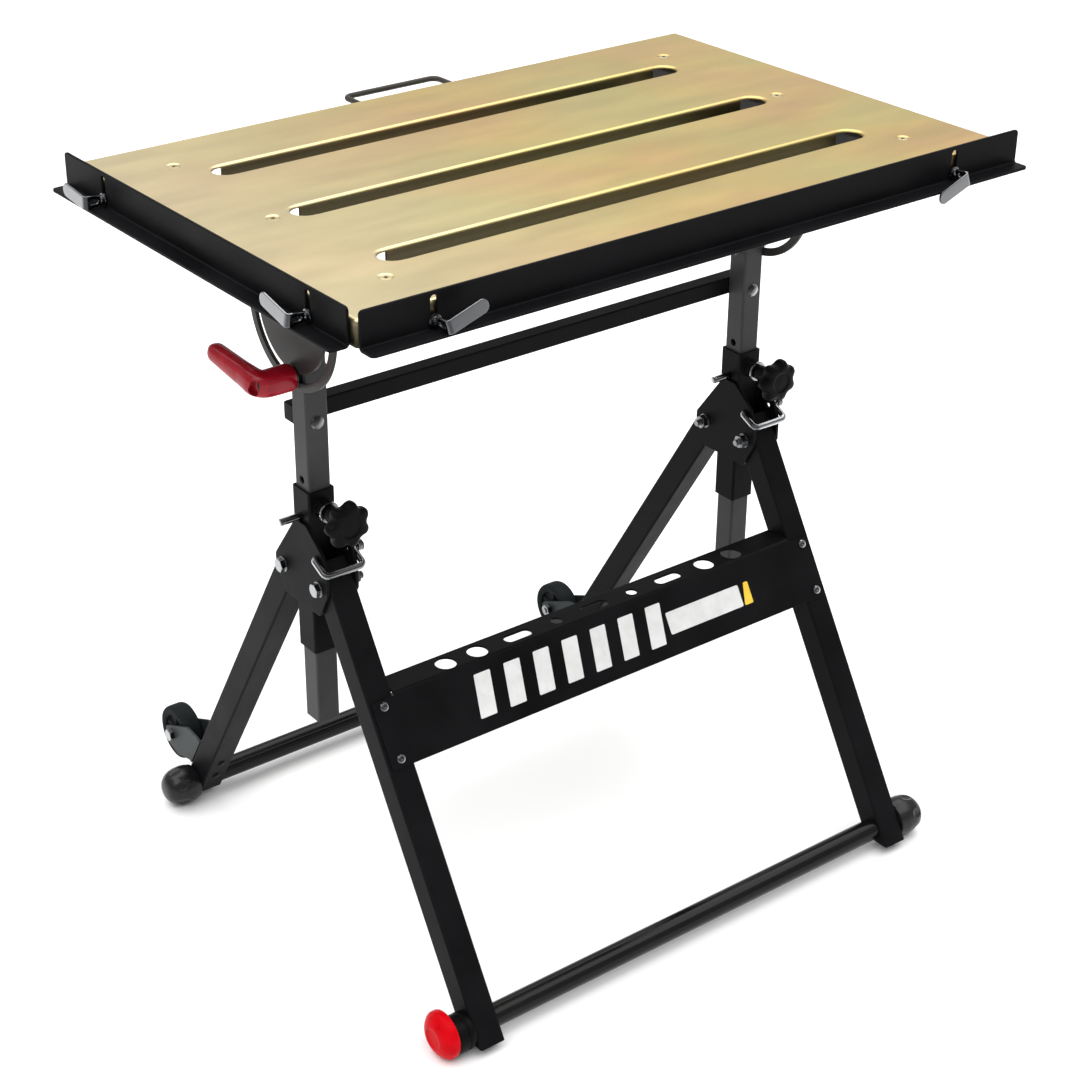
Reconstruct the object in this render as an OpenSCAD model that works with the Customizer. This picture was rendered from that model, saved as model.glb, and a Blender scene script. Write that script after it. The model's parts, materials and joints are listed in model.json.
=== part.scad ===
// Folding welding table: a slotted steel top that tilts on two telescopic
// posts, carried by an A-frame stand whose front and rear legs fold.
// +Z is up, +X runs along the top, -Y is the operator's side. The origin is
// on the floor, in the middle of the rectangle that the whole table covers.

/* [Table top] */
// Length of the top along X
top_l = 762; // [700:1:800]
// Depth of the top along Y
top_w = 492; // [470:1:520]
// Sheet thickness of the top
top_t = 3; // [2:0.5:4]
// Height of the turned-down skirt, outside
skirt_h = 25; // [22:1:30]
// Overall length of a clamping slot
slot_l = 574; // [500:1:574]
// Width of a clamping slot
slot_w = 28; // [20:1:32]
// Distance from slot to slot
slot_pitch = 140; // [120:1:150]
// Depth of the flange folded down along each side of a slot
slot_lip = 20; // [6:1:24]

/* [Stand] */
// Height of the work surface above the floor
table_h = 784; // [760:1:800]
// Distance from the middle of the table to each post
post_x = 277.5; // [270:0.5:280]
// Outside width of a post
post_w = 25; // [24:0.1:25]
// Outside width of a sleeve
sleeve_w = 30; // [29.5:0.1:31]
// Wall thickness of posts, sleeves and legs
tube_t = 2; // [1.5:0.1:2]
// Length of a sleeve
sleeve_l = 178; // [160:1:180]
// Outside width of a leg, a loose fit between its gusset plates
leg_w = 29.4; // [28:0.1:29.6]
// Angle of each leg to the vertical when the stand is open
leg_angle = 31; // [28:0.5:32]
// Diameter of the round bars that join the legs
bar_d = 24; // [20:1:25]
// Radius of the black end caps that the stand stands on
foot_r = 22; // [20:1:24]

/* [Height and tilt] */
// Spacing of the height holes
pin_pitch = 38.1; // [25:0.1:40]
// Diameter of a height pin
pin_d = 7.6; // [6:0.1:8]
// Height of the tilt pivot below the work surface
pivot_drop = 98; // [95:1:100]
// Radius of the arc slot in a tilt bracket
arc_r = 61; // [58:1:62]
// Outer radius of a tilt bracket
quadrant_r = 74; // [72:1:76]

/* [Guide rails] */
// Height of a guide rail's upright leg
rail_h = 36; // [34:1:38]
// Width of a guide rail's foot
rail_foot = 20; // [16:1:22]
// Thickness of a guide rail
rail_t = 3; // [2:0.5:3]
// How far a raised rail stands above the work surface
rail_raise = 9; // [7:1:10]
// Travel of a guide rail
rail_travel = 19; // [16:1:19]

/* [Hidden] */
$fn = 48;
black = "#1c1c1e";
grey = "#4a4b4d";
gold = "#d6c48a";
chrome = "#c9ccd0";
zinc = "#b4b7bb";
rubber = "#262628";
red = "#c2101a";

// Place of the stand's centre line in the floor rectangle
mid_x = 5.3;
mid_y = -29.5;

// Fits
gap = 0.3;
run = 0.05;

// Heights above the floor
skirt_z = table_h - skirt_h;
pivot_z = table_h - pivot_drop;
lock_z = pivot_z - arc_r;
post_top = pivot_z + 15;
post_bottom = table_h - 540;
sleeve_top = table_h - 278.5;
sleeve_bottom = sleeve_top - sleeve_l;
pin_z = table_h - 307;
knob_z = table_h - 297;
cross_z = table_h - 207;
cross_w = 19;
bolt_z = table_h - 17;

// Leg pivots, and where the round bars cross the legs
hinge_y = 32;
hinge_z = table_h - 373;
leg_reach = (hinge_z - foot_r) / cos(leg_angle);
bar_r = bar_d / 2;
bar_y = hinge_y + leg_reach * sin(leg_angle);
leg_top = 24;
plate_t = 3.5;
plate_x = sleeve_w / 2;

// Bail lock: its pin and the bar that lies in front of the leg
bail_y = -31;
bail_z = table_h - 340;
bail_bar = [-52, table_h - 350];
bail_r = 3;
bail_x = plate_x + plate_t + bail_r + 0.6;

// Outer ends of the top, the brackets and the feet, from the middle
half_l = top_l / 2;
half_w = top_w / 2;
bracket_x = post_w / 2 + 0.4;
bracket_t = 4;
foot_x = post_x + leg_w / 2 + 0.3;
foot_l = 38;

// Guide rails: fixings along each rail, and the ends of both rails
front_fix = 307;
left_fix = 178;
front_ends = [-380, 396];
left_ends = [-236, 256];
rail_gap = 0.3;
lever_out = 22;

// Tool tray on the front legs
tray_t = 2.5;
tray_top = table_h - 466;
tray_low = table_h - 527.5;
tray_x = 289;
tray_shelf = 30;
screw_zs = [table_h - 474.5, table_h - 520];

// Casters on the rear legs, in each leg's own frame: the wheel's middle, and the ends of the
// bracket's back. The right-hand one sits lower, with its wheel just clear of the floor.
caster_left = [60, -445];
caster_right = [48, -469];
caster_back_left = [-437, -390];
caster_back_right = [-455, -416];
caster_r = 32;
caster_w = 22;
axle_r = 4;

// ---- Frames ----

// The stand's centre line, on the floor
module stand() {
    translate([mid_x, mid_y, 0]) children();
}

// One side of the stand: x = 0 is the post's axis and +x points outwards
module side(s) {
    stand() translate([s * post_x, 0, 0])
        mirror([s < 0 ? 1 : 0, 0, 0]) children();
}

// A leg's own frame: z = 0 at its pivot, -z down the leg, -y its front face
module leg_frame(front) {
    translate([0, front ? -hinge_y : hinge_y, hinge_z])
        rotate([front ? -leg_angle : leg_angle, 0, 0]) children();
}

// ---- Shapes ----

module rounded_square(w, r) {
    square([w - 2 * r, w], center = true);
    square([w, w - 2 * r], center = true);
    for (i = [-1, 1], j = [-1, 1])
        translate([i * (w / 2 - r), j * (w / 2 - r)]) circle(r);
}

module rounded_plate(size, r) {
    square([size.x - 2 * r, size.y], center = true);
    square([size.x, size.y - 2 * r], center = true);
    for (i = [-1, 1], j = [-1, 1])
        translate([i * (size.x / 2 - r), j * (size.y / 2 - r)]) circle(r);
}

module tube_section(w) {
    difference() {
        rounded_square(w, 2.5);
        rounded_square(w - 2 * tube_t, 1);
    }
}

// A slot's outline: a straight run of the given length between centres
module slot_outline(run_l, r) {
    square([run_l, 2 * r], center = true);
    for (i = [-1, 1]) translate([i * run_l / 2, 0]) circle(r);
}

module x_rod(r, x0, x1) {
    translate([x0, 0, 0]) rotate([0, 90, 0]) cylinder(r = r, h = x1 - x0);
}

module y_rod(r, y0, y1) {
    translate([0, y0, 0]) rotate([-90, 0, 0]) cylinder(r = r, h = y1 - y0);
}

// A flat outline drawn in Y and Z, given a thickness along X from x0 to x1
module yz_plate(x0, x1) {
    translate([x0, 0, 0]) rotate([90, 0, 90])
        linear_extrude(x1 - x0) children();
}

module hex_head(af, h) {
    cylinder(r = af / 2 / cos(30), h = h, $fn = 6);
}

// ---- Table top ----

module table_top() {
    slot_r = slot_w / 2;
    slot_run = slot_l - slot_w;
    lip_run = slot_l - 40;
    lip_t = 2.5;
    color(gold) stand() difference() {
        union() {
            difference() {
                translate([0, 0, skirt_z]) linear_extrude(skirt_h)
                    rounded_plate([top_l, top_w], 4);
                translate([0, 0, skirt_z - 1]) linear_extrude(skirt_h + 1 - top_t)
                    rounded_plate([top_l - 2 * top_t, top_w - 2 * top_t], 1.5);
            }
            for (k = [-1:1])
                translate([0, k * slot_pitch, table_h - slot_lip])
                    linear_extrude(slot_lip)
                        square([lip_run, slot_w + 2 * lip_t], center = true);
        }
        for (k = [-1:1])
            translate([0, k * slot_pitch, table_h - slot_lip - 1])
                linear_extrude(slot_lip + 2) slot_outline(slot_run, slot_r);
        top_screw_places() translate([0, 0, -6]) {
            cylinder(r = 2.6, h = 10);
            translate([0, 0, 3]) cylinder(r1 = 2.6, r2 = 5.7, h = 3.1);
        }
        fence_bolt_places() y_rod(3 + run, -4, 4);
    }
}

// The six countersunk screws, each frame on the work surface
module top_screw_places() {
    for (i = [-1, 1], k = [-1:1])
        translate([i * 307.5, k * 180, table_h]) children();
}

// The four guide-rail bolts: each frame has -y pointing out of the skirt
module fence_bolt_places() {
    for (i = [-1, 1]) {
        front_bolt_place(i) children();
        left_bolt_place(i) children();
    }
}

module front_bolt_place(i) {
    translate([i * front_fix, -half_w, bolt_z]) children();
}

module left_bolt_place(i) {
    translate([-half_l, i * left_fix, bolt_z]) rotate([0, 0, -90]) children();
}

module top_screws() {
    color(gold) stand() top_screw_places() difference() {
        union() {
            translate([0, 0, -14]) cylinder(r = 2.5, h = 13);
            translate([0, 0, -3]) cylinder(r1 = 2.5, r2 = 5.5, h = 3);
        }
        translate([0, 0, -1.5]) cylinder(r = 1.8, h = 2, $fn = 6);
    }
}

// A bent bracket under the top: a screwed flange, and a web that hangs down
// and ends in a half disc round the tilt pivot, with an arc slot for the lock
module tilt_bracket(s) {
    web_top = table_h - top_t;
    color(grey) side(s) difference() {
        union() {
            yz_plate(bracket_x, bracket_x + bracket_t) {
                translate([0, pivot_z]) circle(quadrant_r, $fn = 120);
                polygon([[-quadrant_r, pivot_z], [quadrant_r, pivot_z],
                    [92, web_top - 24], [178, web_top - 24], [184, web_top],
                    [-184, web_top], [-178, web_top - 24], [-92, web_top - 24]]);
            }
            translate([bracket_x, -200, web_top - 3]) cube([40, 400, 3]);
        }
        translate([0, 0, pivot_z]) {
            x_rod(5 + run, 0, 40);
            rotate([90, 0, 90]) arc_cutter(arc_r, 4.5, 90);
        }
        for (k = [-1:1])
            translate([307.5 - post_x, k * 180, web_top - 4])
                cylinder(r = 2.6, h = 6);
    }
}

// Cutter for an arc slot that spans the given angle either side of straight down
module arc_cutter(r, half_gap, span) {
    translate([0, 0, -10]) rotate([0, 0, -90 - span])
        rotate_extrude(angle = 2 * span, $fn = 120)
            translate([r - half_gap, 0]) square([2 * half_gap, 50]);
    for (i = [-1, 1])
        rotate([0, 0, -90 + i * span]) translate([r, 0, -10])
            cylinder(r = half_gap, h = 50);
}

module tilt_bracket_left() { tilt_bracket(-1); }
module tilt_bracket_right() { tilt_bracket(1); }

// A round-bar loop on the back skirt
module carry_handle() {
    grip_l = 124;
    reach = 47;
    r = 3;
    bend = 9;
    middle_x = 20;
    color("#57503a") stand()
        translate([middle_x, half_w, table_h - 10]) {
            for (i = [-1, 1]) mirror([i < 0 ? 1 : 0, 0, 0]) {
                translate([grip_l / 2 - r, 0, 0]) y_rod(r, 0, reach - bend);
                translate([grip_l / 2 - r - bend, reach - bend, 0])
                    rotate_extrude(angle = 90)
                        translate([bend, 0]) circle(r);
                translate([grip_l / 2 - r, 0, 0]) y_rod(6, 0, 2);
            }
            translate([0, reach, 0])
                x_rod(r, -grip_l / 2 + r + bend, grip_l / 2 - r - bend);
        }
}

module fence_nuts() {
    color(zinc) stand() fence_bolt_places() difference() {
        translate([0, top_t, 0]) rotate([-90, 0, 0]) hex_head(10, 5);
        y_rod(3 + run, 0, 20);
    }
}

// ---- Guide rails ----

// An angle rail along +x from x0 to x1. Its back face is at y = -rail_gap.
module rail(ends, fixings) {
    top_z = table_h + rail_raise;
    slot_run = rail_travel;
    difference() {
        union() {
            translate([ends[0], -rail_gap - rail_t, top_z - rail_h])
                cube([ends[1] - ends[0], rail_t, rail_h]);
            translate([ends[0], -rail_gap - rail_foot, top_z - rail_h])
                cube([ends[1] - ends[0], rail_foot, rail_t]);
        }
        for (x = fixings)
            translate([x, 0, bolt_z + slot_run / 2]) rotate([90, 0, 0])
                translate([0, 0, -5]) linear_extrude(20)
                    rotate(90) slot_outline(slot_run, 3.6);
    }
}

module fence_front() {
    color(black) stand() translate([0, -half_w, 0])
        rail(front_ends, [-front_fix, front_fix]);
}

module fence_left() {
    color(black) stand() translate([-half_l, 0, 0]) rotate([0, 0, -90])
        rail([-left_ends[1], -left_ends[0]], [-left_fix, left_fix]);
}

// A clamping lever with its bolt: the shank runs along y through the skirt,
// and the paddle points along +x, turned up by the given angle
module fence_lever(turn) {
    hub_out = rail_gap + rail_t;
    color(chrome) {
        y_rod(3, -lever_out, top_t + 7);
        y_rod(5, -lever_out, -hub_out - 0.2);
        y_rod(6.4, -hub_out - 1.7, -hub_out - 0.2);
        translate([0, -lever_out, 0]) rotate([90, -turn, 0])
            linear_extrude(3.5) {
                circle(6.5);
                translate([0, -4.5]) square([10, 9]);
                translate([29, 0]) slot_outline(26, 7);
            }
    }
}

module fence_lever_front_left() {
    stand() front_bolt_place(-1) fence_lever(22);
}

module fence_lever_front_right() {
    stand() front_bolt_place(1) fence_lever(204);
}

module fence_lever_left_front() {
    stand() left_bolt_place(-1) fence_lever(166);
}

module fence_lever_left_rear() {
    stand() left_bolt_place(1) fence_lever(174);
}

// ---- Posts ----

module post(s) {
    color(grey) side(s) difference() {
        translate([0, 0, post_bottom])
            linear_extrude(post_top - post_bottom) tube_section(post_w);
        translate([0, 0, pivot_z]) x_rod(5 + run, -30, 30);
        translate([0, 0, lock_z]) x_rod(4 + run, -30, 30);
        translate([0, 0, cross_z]) y_rod(3 + run, -30, 30);
        for (k = [-3:1])
            translate([0, 0, pin_z + k * pin_pitch])
                x_rod(pin_d / 2 + 0.4, -30, 30);
    }
}

module post_left() { post(-1); }
module post_right() { post(1); }

cross_y = post_w / 2 + cross_w / 2;
cross_half = post_x + 7.5;

module crossbar() {
    color(black) stand() translate([0, cross_y, cross_z]) difference() {
        rotate([0, 90, 0]) translate([0, 0, -cross_half])
            linear_extrude(2 * cross_half) difference() {
                rounded_square(cross_w, 1.8);
                rounded_square(cross_w - 3, 0.8);
            }
        for (s = [-1, 1]) translate([s * post_x, 0, 0]) y_rod(3 + run, -30, 30);
    }
}

module crossbar_caps() {
    color(rubber) for (s = [-1, 1])
        side(s) translate([cross_half - post_x, cross_y, cross_z])
            rotate([0, 90, 0]) {
                linear_extrude(2.5) rounded_square(cross_w, 1.8);
                translate([0, 0, -4]) linear_extrude(4)
                    rounded_square(cross_w - 3.2, 0.8);
            }
}

// Carriage bolts with domed heads on the posts' front faces
module crossbar_bolts() {
    color(zinc) for (s = [-1, 1])
        side(s) translate([0, 0, cross_z]) {
            y_rod(3, -post_w / 2, cross_y + cross_w / 2 + 8);
            translate([0, -post_w / 2, 0]) rotate([90, 0, 0])
                cylinder(r1 = 7, r2 = 3.5, h = 3.2);
        }
}

module crossbar_nuts() {
    color(zinc) for (s = [-1, 1])
        side(s) translate([0, cross_y + cross_w / 2, cross_z])
            difference() {
                rotate([-90, 0, 0]) hex_head(10, 6);
                y_rod(3 + run, -1, 10);
            }
}

module tilt_pivot_bolts() {
    out = bracket_x + bracket_t + 0.3;
    color(zinc) for (s = [-1, 1])
        side(s) translate([0, 0, pivot_z]) {
            x_rod(5, -post_w / 2 - 9, out);
            translate([out, 0, 0]) rotate([0, 90, 0]) hex_head(16, 6.5);
            translate([-post_w / 2 - 8.3, 0, 0]) rotate([0, 90, 0]) hex_head(16, 8);
        }
}

// Bolts through the posts and the brackets' arc slots. The left one carries
// the red lever, the right one ends in a washer and a locknut.
module tilt_lock_bolts() {
    out = bracket_x + bracket_t;
    color(zinc) for (s = [-1, 1])
        side(s) translate([0, 0, lock_z]) {
            x_rod(4, -post_w / 2 - 6, s < 0 ? 56 : out + 10);
            translate([-post_w / 2 - 5.3, 0, 0]) rotate([0, 90, 0]) hex_head(13, 5);
            translate([out + gap, 0, 0]) x_rod(9, 0, 1.6);
            if (s > 0)
                translate([out + gap + 1.6, 0, 0]) rotate([0, 90, 0])
                    hex_head(13, 6.5);
        }
}

lever_x0 = bracket_x + bracket_t + gap + 2;
lever_x1 = 61;

// Outward hub on the lock bolt, with a tapered grip that points backwards
module tilt_lock_lever() {
    hub_r = 13;
    grip_l = 76;
    color(red) side(-1) translate([0, 0, lock_z]) difference() {
        union() {
            x_rod(hub_r, lever_x0, lever_x1);
            translate([lever_x1 - 17, 0, 0]) rotate([90, 0, 90])
                linear_extrude(17) rotate(9) {
                    polygon([[0, -hub_r], [grip_l, -9], [grip_l, 9], [0, hub_r]]);
                    translate([grip_l, 0]) circle(9);
                    circle(hub_r);
                }
        }
        x_rod(4 + run, lever_x0 - 1, 57);
        translate([lever_x1 - 3, 0, 0]) x_rod(8, 0, 4);
    }
}

// ---- Sleeves and gussets ----

module sleeve(s) {
    color(black) side(s) difference() {
        union() {
            translate([0, 0, sleeve_bottom]) linear_extrude(sleeve_l)
                tube_section(sleeve_w);
            translate([0, -sleeve_w / 2, knob_z]) rotate([90, 0, 0]) hex_head(17, 8);
        }
        translate([0, 0, pin_z]) x_rod(pin_d / 2 + run, -30, 30);
        translate([0, 0, knob_z]) y_rod(4 + run, -40, 0);
    }
}

module sleeve_left() { sleeve(-1); }
module sleeve_right() { sleeve(1); }

// Two plates, one on each side of the sleeve
module gusset_plates(s) {
    color(black) side(s) for (i = [0, 1])
        mirror([i, 0, 0]) difference() {
            yz_plate(plate_x, plate_x + plate_t)
                translate([0, table_h]) polygon([[7, -312], [47, -366], [47, -376],
                    [32, -404], [-32, -404], [-47, -376], [-47, -352],
                    [-40, -334], [-12, -312]]);
            for (j = [-1, 1])
                translate([0, j * hinge_y, hinge_z]) x_rod(4 + run, 0, 40);
            translate([0, bail_y, bail_z]) x_rod(bail_r + run, 0, 40);
        }
}

module gusset_plates_left() { gusset_plates(-1); }
module gusset_plates_right() { gusset_plates(1); }

// Pivot bolts of the four legs, heads outside
module leg_bolts() {
    out = plate_x + plate_t;
    color(zinc) for (s = [-1, 1], j = [-1, 1])
        side(s) translate([0, j * hinge_y, hinge_z]) {
            x_rod(4, -out - 13, out);
            x_rod(8, out, out + 1.5);
            translate([out + 1.5, 0, 0]) rotate([0, 90, 0]) hex_head(13, 5.3);
        }
}

module leg_nuts() {
    out = plate_x + plate_t;
    color(zinc) for (s = [-1, 1], j = [-1, 1])
        side(s) translate([-out - 8, j * hinge_y, hinge_z]) difference() {
            union() {
                rotate([0, 90, 0]) hex_head(13, 6.5);
                x_rod(8, 6.5, 8);
            }
            x_rod(4 + run, -1, 9);
        }
}

// ---- Clamping knobs ----

knob_back = -sleeve_w / 2 - 36;
knob_t = 15;
knob_neck = 22;

// Seven-lobed grip with a tapered neck, bored for its stud
module knob(s) {
    lobes = 7;
    color(rubber) side(s) translate([0, knob_back, knob_z])
        rotate([90, 0, 0]) difference() {
            union() {
                linear_extrude(knob_t) {
                    circle(19.4);
                    for (i = [0:lobes - 1]) rotate((i + 0.5) * 360 / lobes)
                        translate([19, 0]) circle(6);
                }
                translate([0, 0, -knob_neck]) cylinder(r1 = 8, r2 = 12, h = knob_neck);
            }
            translate([0, 0, -knob_neck - 1]) cylinder(r = 4 + run, h = knob_neck + 14);
        }
}

module knob_left() { knob(-1); }
module knob_right() { knob(1); }

// Threaded stud with the metal collar behind the grip
module knob_stud(s) {
    color(chrome) side(s) translate([0, 0, knob_z]) {
        y_rod(4, knob_back - 12.5, -post_w / 2 - 0.4);
        y_rod(11, knob_back + knob_neck + 0.2, knob_back + knob_neck + 2.8);
    }
}

module knob_stud_left() { knob_stud(-1); }
module knob_stud_right() { knob_stud(1); }

// ---- Height pins ----

pin_out = 25;
pin_in = 1.5;

// A plain pin in the left-hand wall of the sleeve, drawn out of the post
module height_pin(s) {
    color(chrome) stand() translate([s * post_x - sleeve_w / 2, 0, pin_z]) {
        x_rod(pin_d / 2, -pin_out + 1, pin_in);
        translate([-pin_out, 0, 0]) rotate([0, 90, 0])
            cylinder(r1 = pin_d / 2 - 1, r2 = pin_d / 2, h = 1);
    }
}

module height_pin_left() { height_pin(-1); }
module height_pin_right() { height_pin(1); }

// ---- Bail locks ----

bail_reach = norm([bail_bar[0] - bail_y, bail_bar[1] - bail_z]);
bail_turn = atan2(bail_bar[1] - bail_z, bail_bar[0] - bail_y);

// One bent rod: two arms outside the plates, a bar across the front of the
// leg, and two short ends that turn in the plates
module bail(s) {
    bend = 5;
    color(chrome) stand() translate([s * post_x, bail_y, bail_z]) {
        x_rod(bail_r, bail_x, bail_x + bail_r + 9);
        rotate([bail_turn, 0, 0]) for (i = [0, 1]) mirror([i, 0, 0]) {
            x_rod(bail_r, plate_x + 0.2, bail_x);
            translate([bail_x, 0, 0]) sphere(bail_r);
            translate([bail_x, 0, 0]) y_rod(bail_r, 0, bail_reach - bend);
            translate([bail_x - bend, bail_reach - bend, 0])
                rotate_extrude(angle = 90) translate([bend, 0]) circle(bail_r);
            translate([0, bail_reach, 0]) x_rod(bail_r, 0, bail_x - bend);
        }
    }
}

module bail_left() { bail(-1); }
module bail_right() { bail(1); }

// Return spring on the right-hand end of each lock
module bail_spring(s) {
    wire = 1;
    turns = 4;
    color(chrome) stand()
        translate([s * post_x + bail_x + bail_r + 0.3, bail_y, bail_z])
            rotate([0, 90, 0]) rotate_extrude()
                for (i = [0:turns - 1])
                    translate([5.2, wire + i * 1.9 * wire]) circle(wire, $fn = 16);
}

module bail_spring_left() { bail_spring(-1); }
module bail_spring_right() { bail_spring(1); }

// ---- Legs ----

// A leg's tube, its top trimmed upright so that it rests against the sleeve
module leg(s, front) {
    foot_end = 26;
    sgn = front ? -1 : 1;
    color(black) side(s) difference() {
        leg_frame(front) difference() {
            translate([0, 0, -leg_reach - foot_end])
                linear_extrude(leg_reach + foot_end + leg_top) tube_section(leg_w);
            x_rod(4 + run, -20, 20);
            translate([0, 0, -leg_reach]) x_rod(bar_r + run, -20, 20);
        }
        translate([-20, sgn < 0 ? -sleeve_w / 2 - 0.3 : -40, hinge_z - 10])
            cube([40, 40 + sleeve_w / 2 + 0.3, 60]);
        translate([-20, -400, foot_r - bar_r - 60]) cube([40, 800, 60]);
        if (front) for (z = screw_zs) tray_screw_hole(z);
    }
}

module front_leg_left() { leg(-1, true); }
module front_leg_right() { leg(1, true); }
module rear_leg_left() { leg(-1, false); }
module rear_leg_right() { leg(1, false); }

module round_bar(y, x0, x1) {
    color(black) stand() translate([0, y, foot_r]) difference() {
        x_rod(bar_r, x0, x1);
        x_rod(bar_r - tube_t, x0 - 1, x1 + 1);
    }
}

module front_bar() { round_bar(-bar_y, -foot_x - 33, foot_x + 28); }
module rear_bar() { round_bar(bar_y, -foot_x - 28, foot_x + 28); }

// ---- Tool tray ----

// Depth of the tray's outer face at a height, and the same for its inner face
function face_y(z, off) = -hinge_y - (hinge_z - z) * tan(leg_angle) - off / cos(leg_angle);

// A bent sheet: a sloping face screwed to the legs and a level shelf on top
module tool_tray() {
    inner = leg_w / 2;
    outer = inner + tray_t;
    shelf_x = post_x - leg_w / 2 - 0.8;
    shelf_mid = face_y(tray_top, outer) + 14;
    color(black) stand() difference() {
        union() {
            yz_plate(-tray_x, tray_x)
                polygon([[face_y(tray_top, outer), tray_top],
                    [face_y(tray_top, inner), tray_top],
                    [face_y(tray_low, inner), tray_low],
                    [face_y(tray_low, outer), tray_low]]);
            translate([-shelf_x, face_y(tray_top, outer), tray_top - tray_t])
                cube([2 * shelf_x, tray_shelf, tray_t]);
        }
        translate([0, shelf_mid, tray_top - 10]) linear_extrude(20) {
            for (i = [-1, 1]) {
                translate([i * 190, 0]) circle(11);
                translate([i * 151, 0]) circle(11);
                translate([i * 100, 0]) slot_outline(20, 6.5);
                translate([i * 50, 0]) circle(6);
            }
            slot_outline(20, 6.5);
        }
        for (s = [-1, 1], z = screw_zs)
            translate([s * post_x, 0, 0]) tray_screw_hole(z);
    }
}

// A screw's frame on the tray's outer face: +z is out of the face
module tray_screw_place(z) {
    translate([0, face_y(z, leg_w / 2 + tray_t), z])
        rotate([90 - leg_angle, 0, 0]) children();
}

module tray_screw_hole(z) {
    tray_screw_place(z) translate([0, 0, -8]) cylinder(r = 2.5 + run, h = 9);
}

module tray_screws() {
    color(chrome) for (s = [-1, 1], z = screw_zs)
        side(s) tray_screw_place(z) difference() {
            union() {
                translate([0, 0, -7]) cylinder(r = 2.5, h = 8);
                cylinder(r1 = 4.8, r2 = 3.6, h = 3);
            }
            translate([0, 0, 1.2]) cylinder(r = 1.7, h = 2, $fn = 6);
        }
}

// ---- Feet ----

// A bulbous end cap over the end of a round bar
module foot_cap(s, y) {
    color(rubber) side(s) translate([foot_x - post_x, y, foot_r])
        rotate([0, 90, 0]) rotate_extrude($fn = 72) difference() {
            union() {
                square([foot_r - 8, foot_l]);
                polygon([[0, 0], [foot_r - 2.5, 0], [foot_r, 9],
                    [foot_r, 20], [foot_r - 1.2, 26], [foot_r - 5, 33],
                    [foot_r - 12, 37], [0, foot_l]]);
            }
            translate([0, -1]) square([bar_r + run, 30]);
        }
}

module foot_front_right() { foot_cap(1, -bar_y); }
module foot_rear_left() { foot_cap(-1, bar_y); }
module foot_rear_right() { foot_cap(1, bar_y); }

collar_l = 20;

module foot_collar() {
    color(rubber) side(-1) translate([foot_x - post_x, -bar_y, foot_r])
        difference() {
            x_rod(19.5, 0, collar_l);
            x_rod(bar_r + run, -1, collar_l + 1);
        }
}

// An eccentric cap that turns on the end of the front bar and levels the stand
module levelling_foot() {
    cap_r = 25;
    offset_z = cap_r - foot_r;
    offset_y = 4;
    color("#e00a1c") side(-1)
        translate([foot_x - post_x + collar_l + gap, -bar_y, foot_r])
            difference() {
                translate([0, offset_y, offset_z]) rotate([0, 90, 0])
                    rotate_extrude($fn = 72) polygon([[0, 0], [cap_r - 2, 0],
                        [cap_r, 2], [cap_r, 7], [cap_r - 3, 13],
                        [cap_r - 7, 16], [0, 17]]);
                x_rod(bar_r + run, -1, 33 - collar_l + 0.1);
            }
}

// ---- Casters ----

// The wheel's middle, in the stand's frame turned with the leg
module caster(s) {
    middle = s < 0 ? caster_left : caster_right;
    side(s) leg_frame(false) translate([0, middle[0], middle[1]]) children();
}

// A folded bracket on the leg's rear face, with two ears for the axle
module caster_fork(s) {
    middle = s < 0 ? caster_left : caster_right;
    ends = s < 0 ? caster_back_left : caster_back_right;
    y = middle[0];
    z = middle[1];
    ear_in = caster_w / 2 + 1.2;
    ear_out = ear_in + 2.5;
    back = leg_w / 2;
    color("#3e4a4c") side(s) leg_frame(false) difference() {
        union() {
            translate([-ear_out, back, ends[0]])
                cube([2 * ear_out, 2.5, ends[1] - ends[0]]);
            for (i = [0, 1]) mirror([i, 0, 0]) yz_plate(ear_in, ear_out) {
                polygon([[back, ends[1]], [back + 7, ends[1] - 1],
                    [y - 18, z + 45], [y + 11, z + 7], [y + 2, z - 12.8],
                    [y - 22, z - 12], [back + 4, ends[0]], [back, ends[0]]]);
                translate([y, z]) circle(13);
            }
        }
        translate([0, y, z]) x_rod(axle_r + run, -30, 30);
    }
}

module caster_fork_left() { caster_fork(-1); }
module caster_fork_right() { caster_fork(1); }

module caster_axles() {
    out = caster_w / 2 + 3.7;
    color(zinc) for (s = [-1, 1]) caster(s) {
        x_rod(axle_r, -out - 7, out);
        translate([out, 0, 0]) rotate([0, 90, 0]) hex_head(13, 5.3);
        translate([-out - 6, 0, 0]) rotate([0, 90, 0]) hex_head(13, 6);
    }
}

module caster_tyre(s) {
    r = caster_r;
    color("#6a726c") caster(s) translate([-caster_w / 2, 0, 0])
        rotate([0, 90, 0]) rotate_extrude($fn = 72)
            polygon([[23, 0], [r - 3, 0], [r, 3], [r, caster_w - 3],
                [r - 3, caster_w], [23, caster_w]]);
}

module caster_hub(s) {
    color("#39403f") caster(s) difference() {
        union() {
            x_rod(23 - run, -caster_w / 2 + 3, caster_w / 2 - 3);
            x_rod(10, -caster_w / 2 - 0.6, caster_w / 2 + 0.6);
        }
        x_rod(axle_r + run, -20, 20);
    }
}

module caster_tyre_left() { caster_tyre(-1); }
module caster_tyre_right() { caster_tyre(1); }
module caster_hub_left() { caster_hub(-1); }
module caster_hub_right() { caster_hub(1); }

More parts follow.
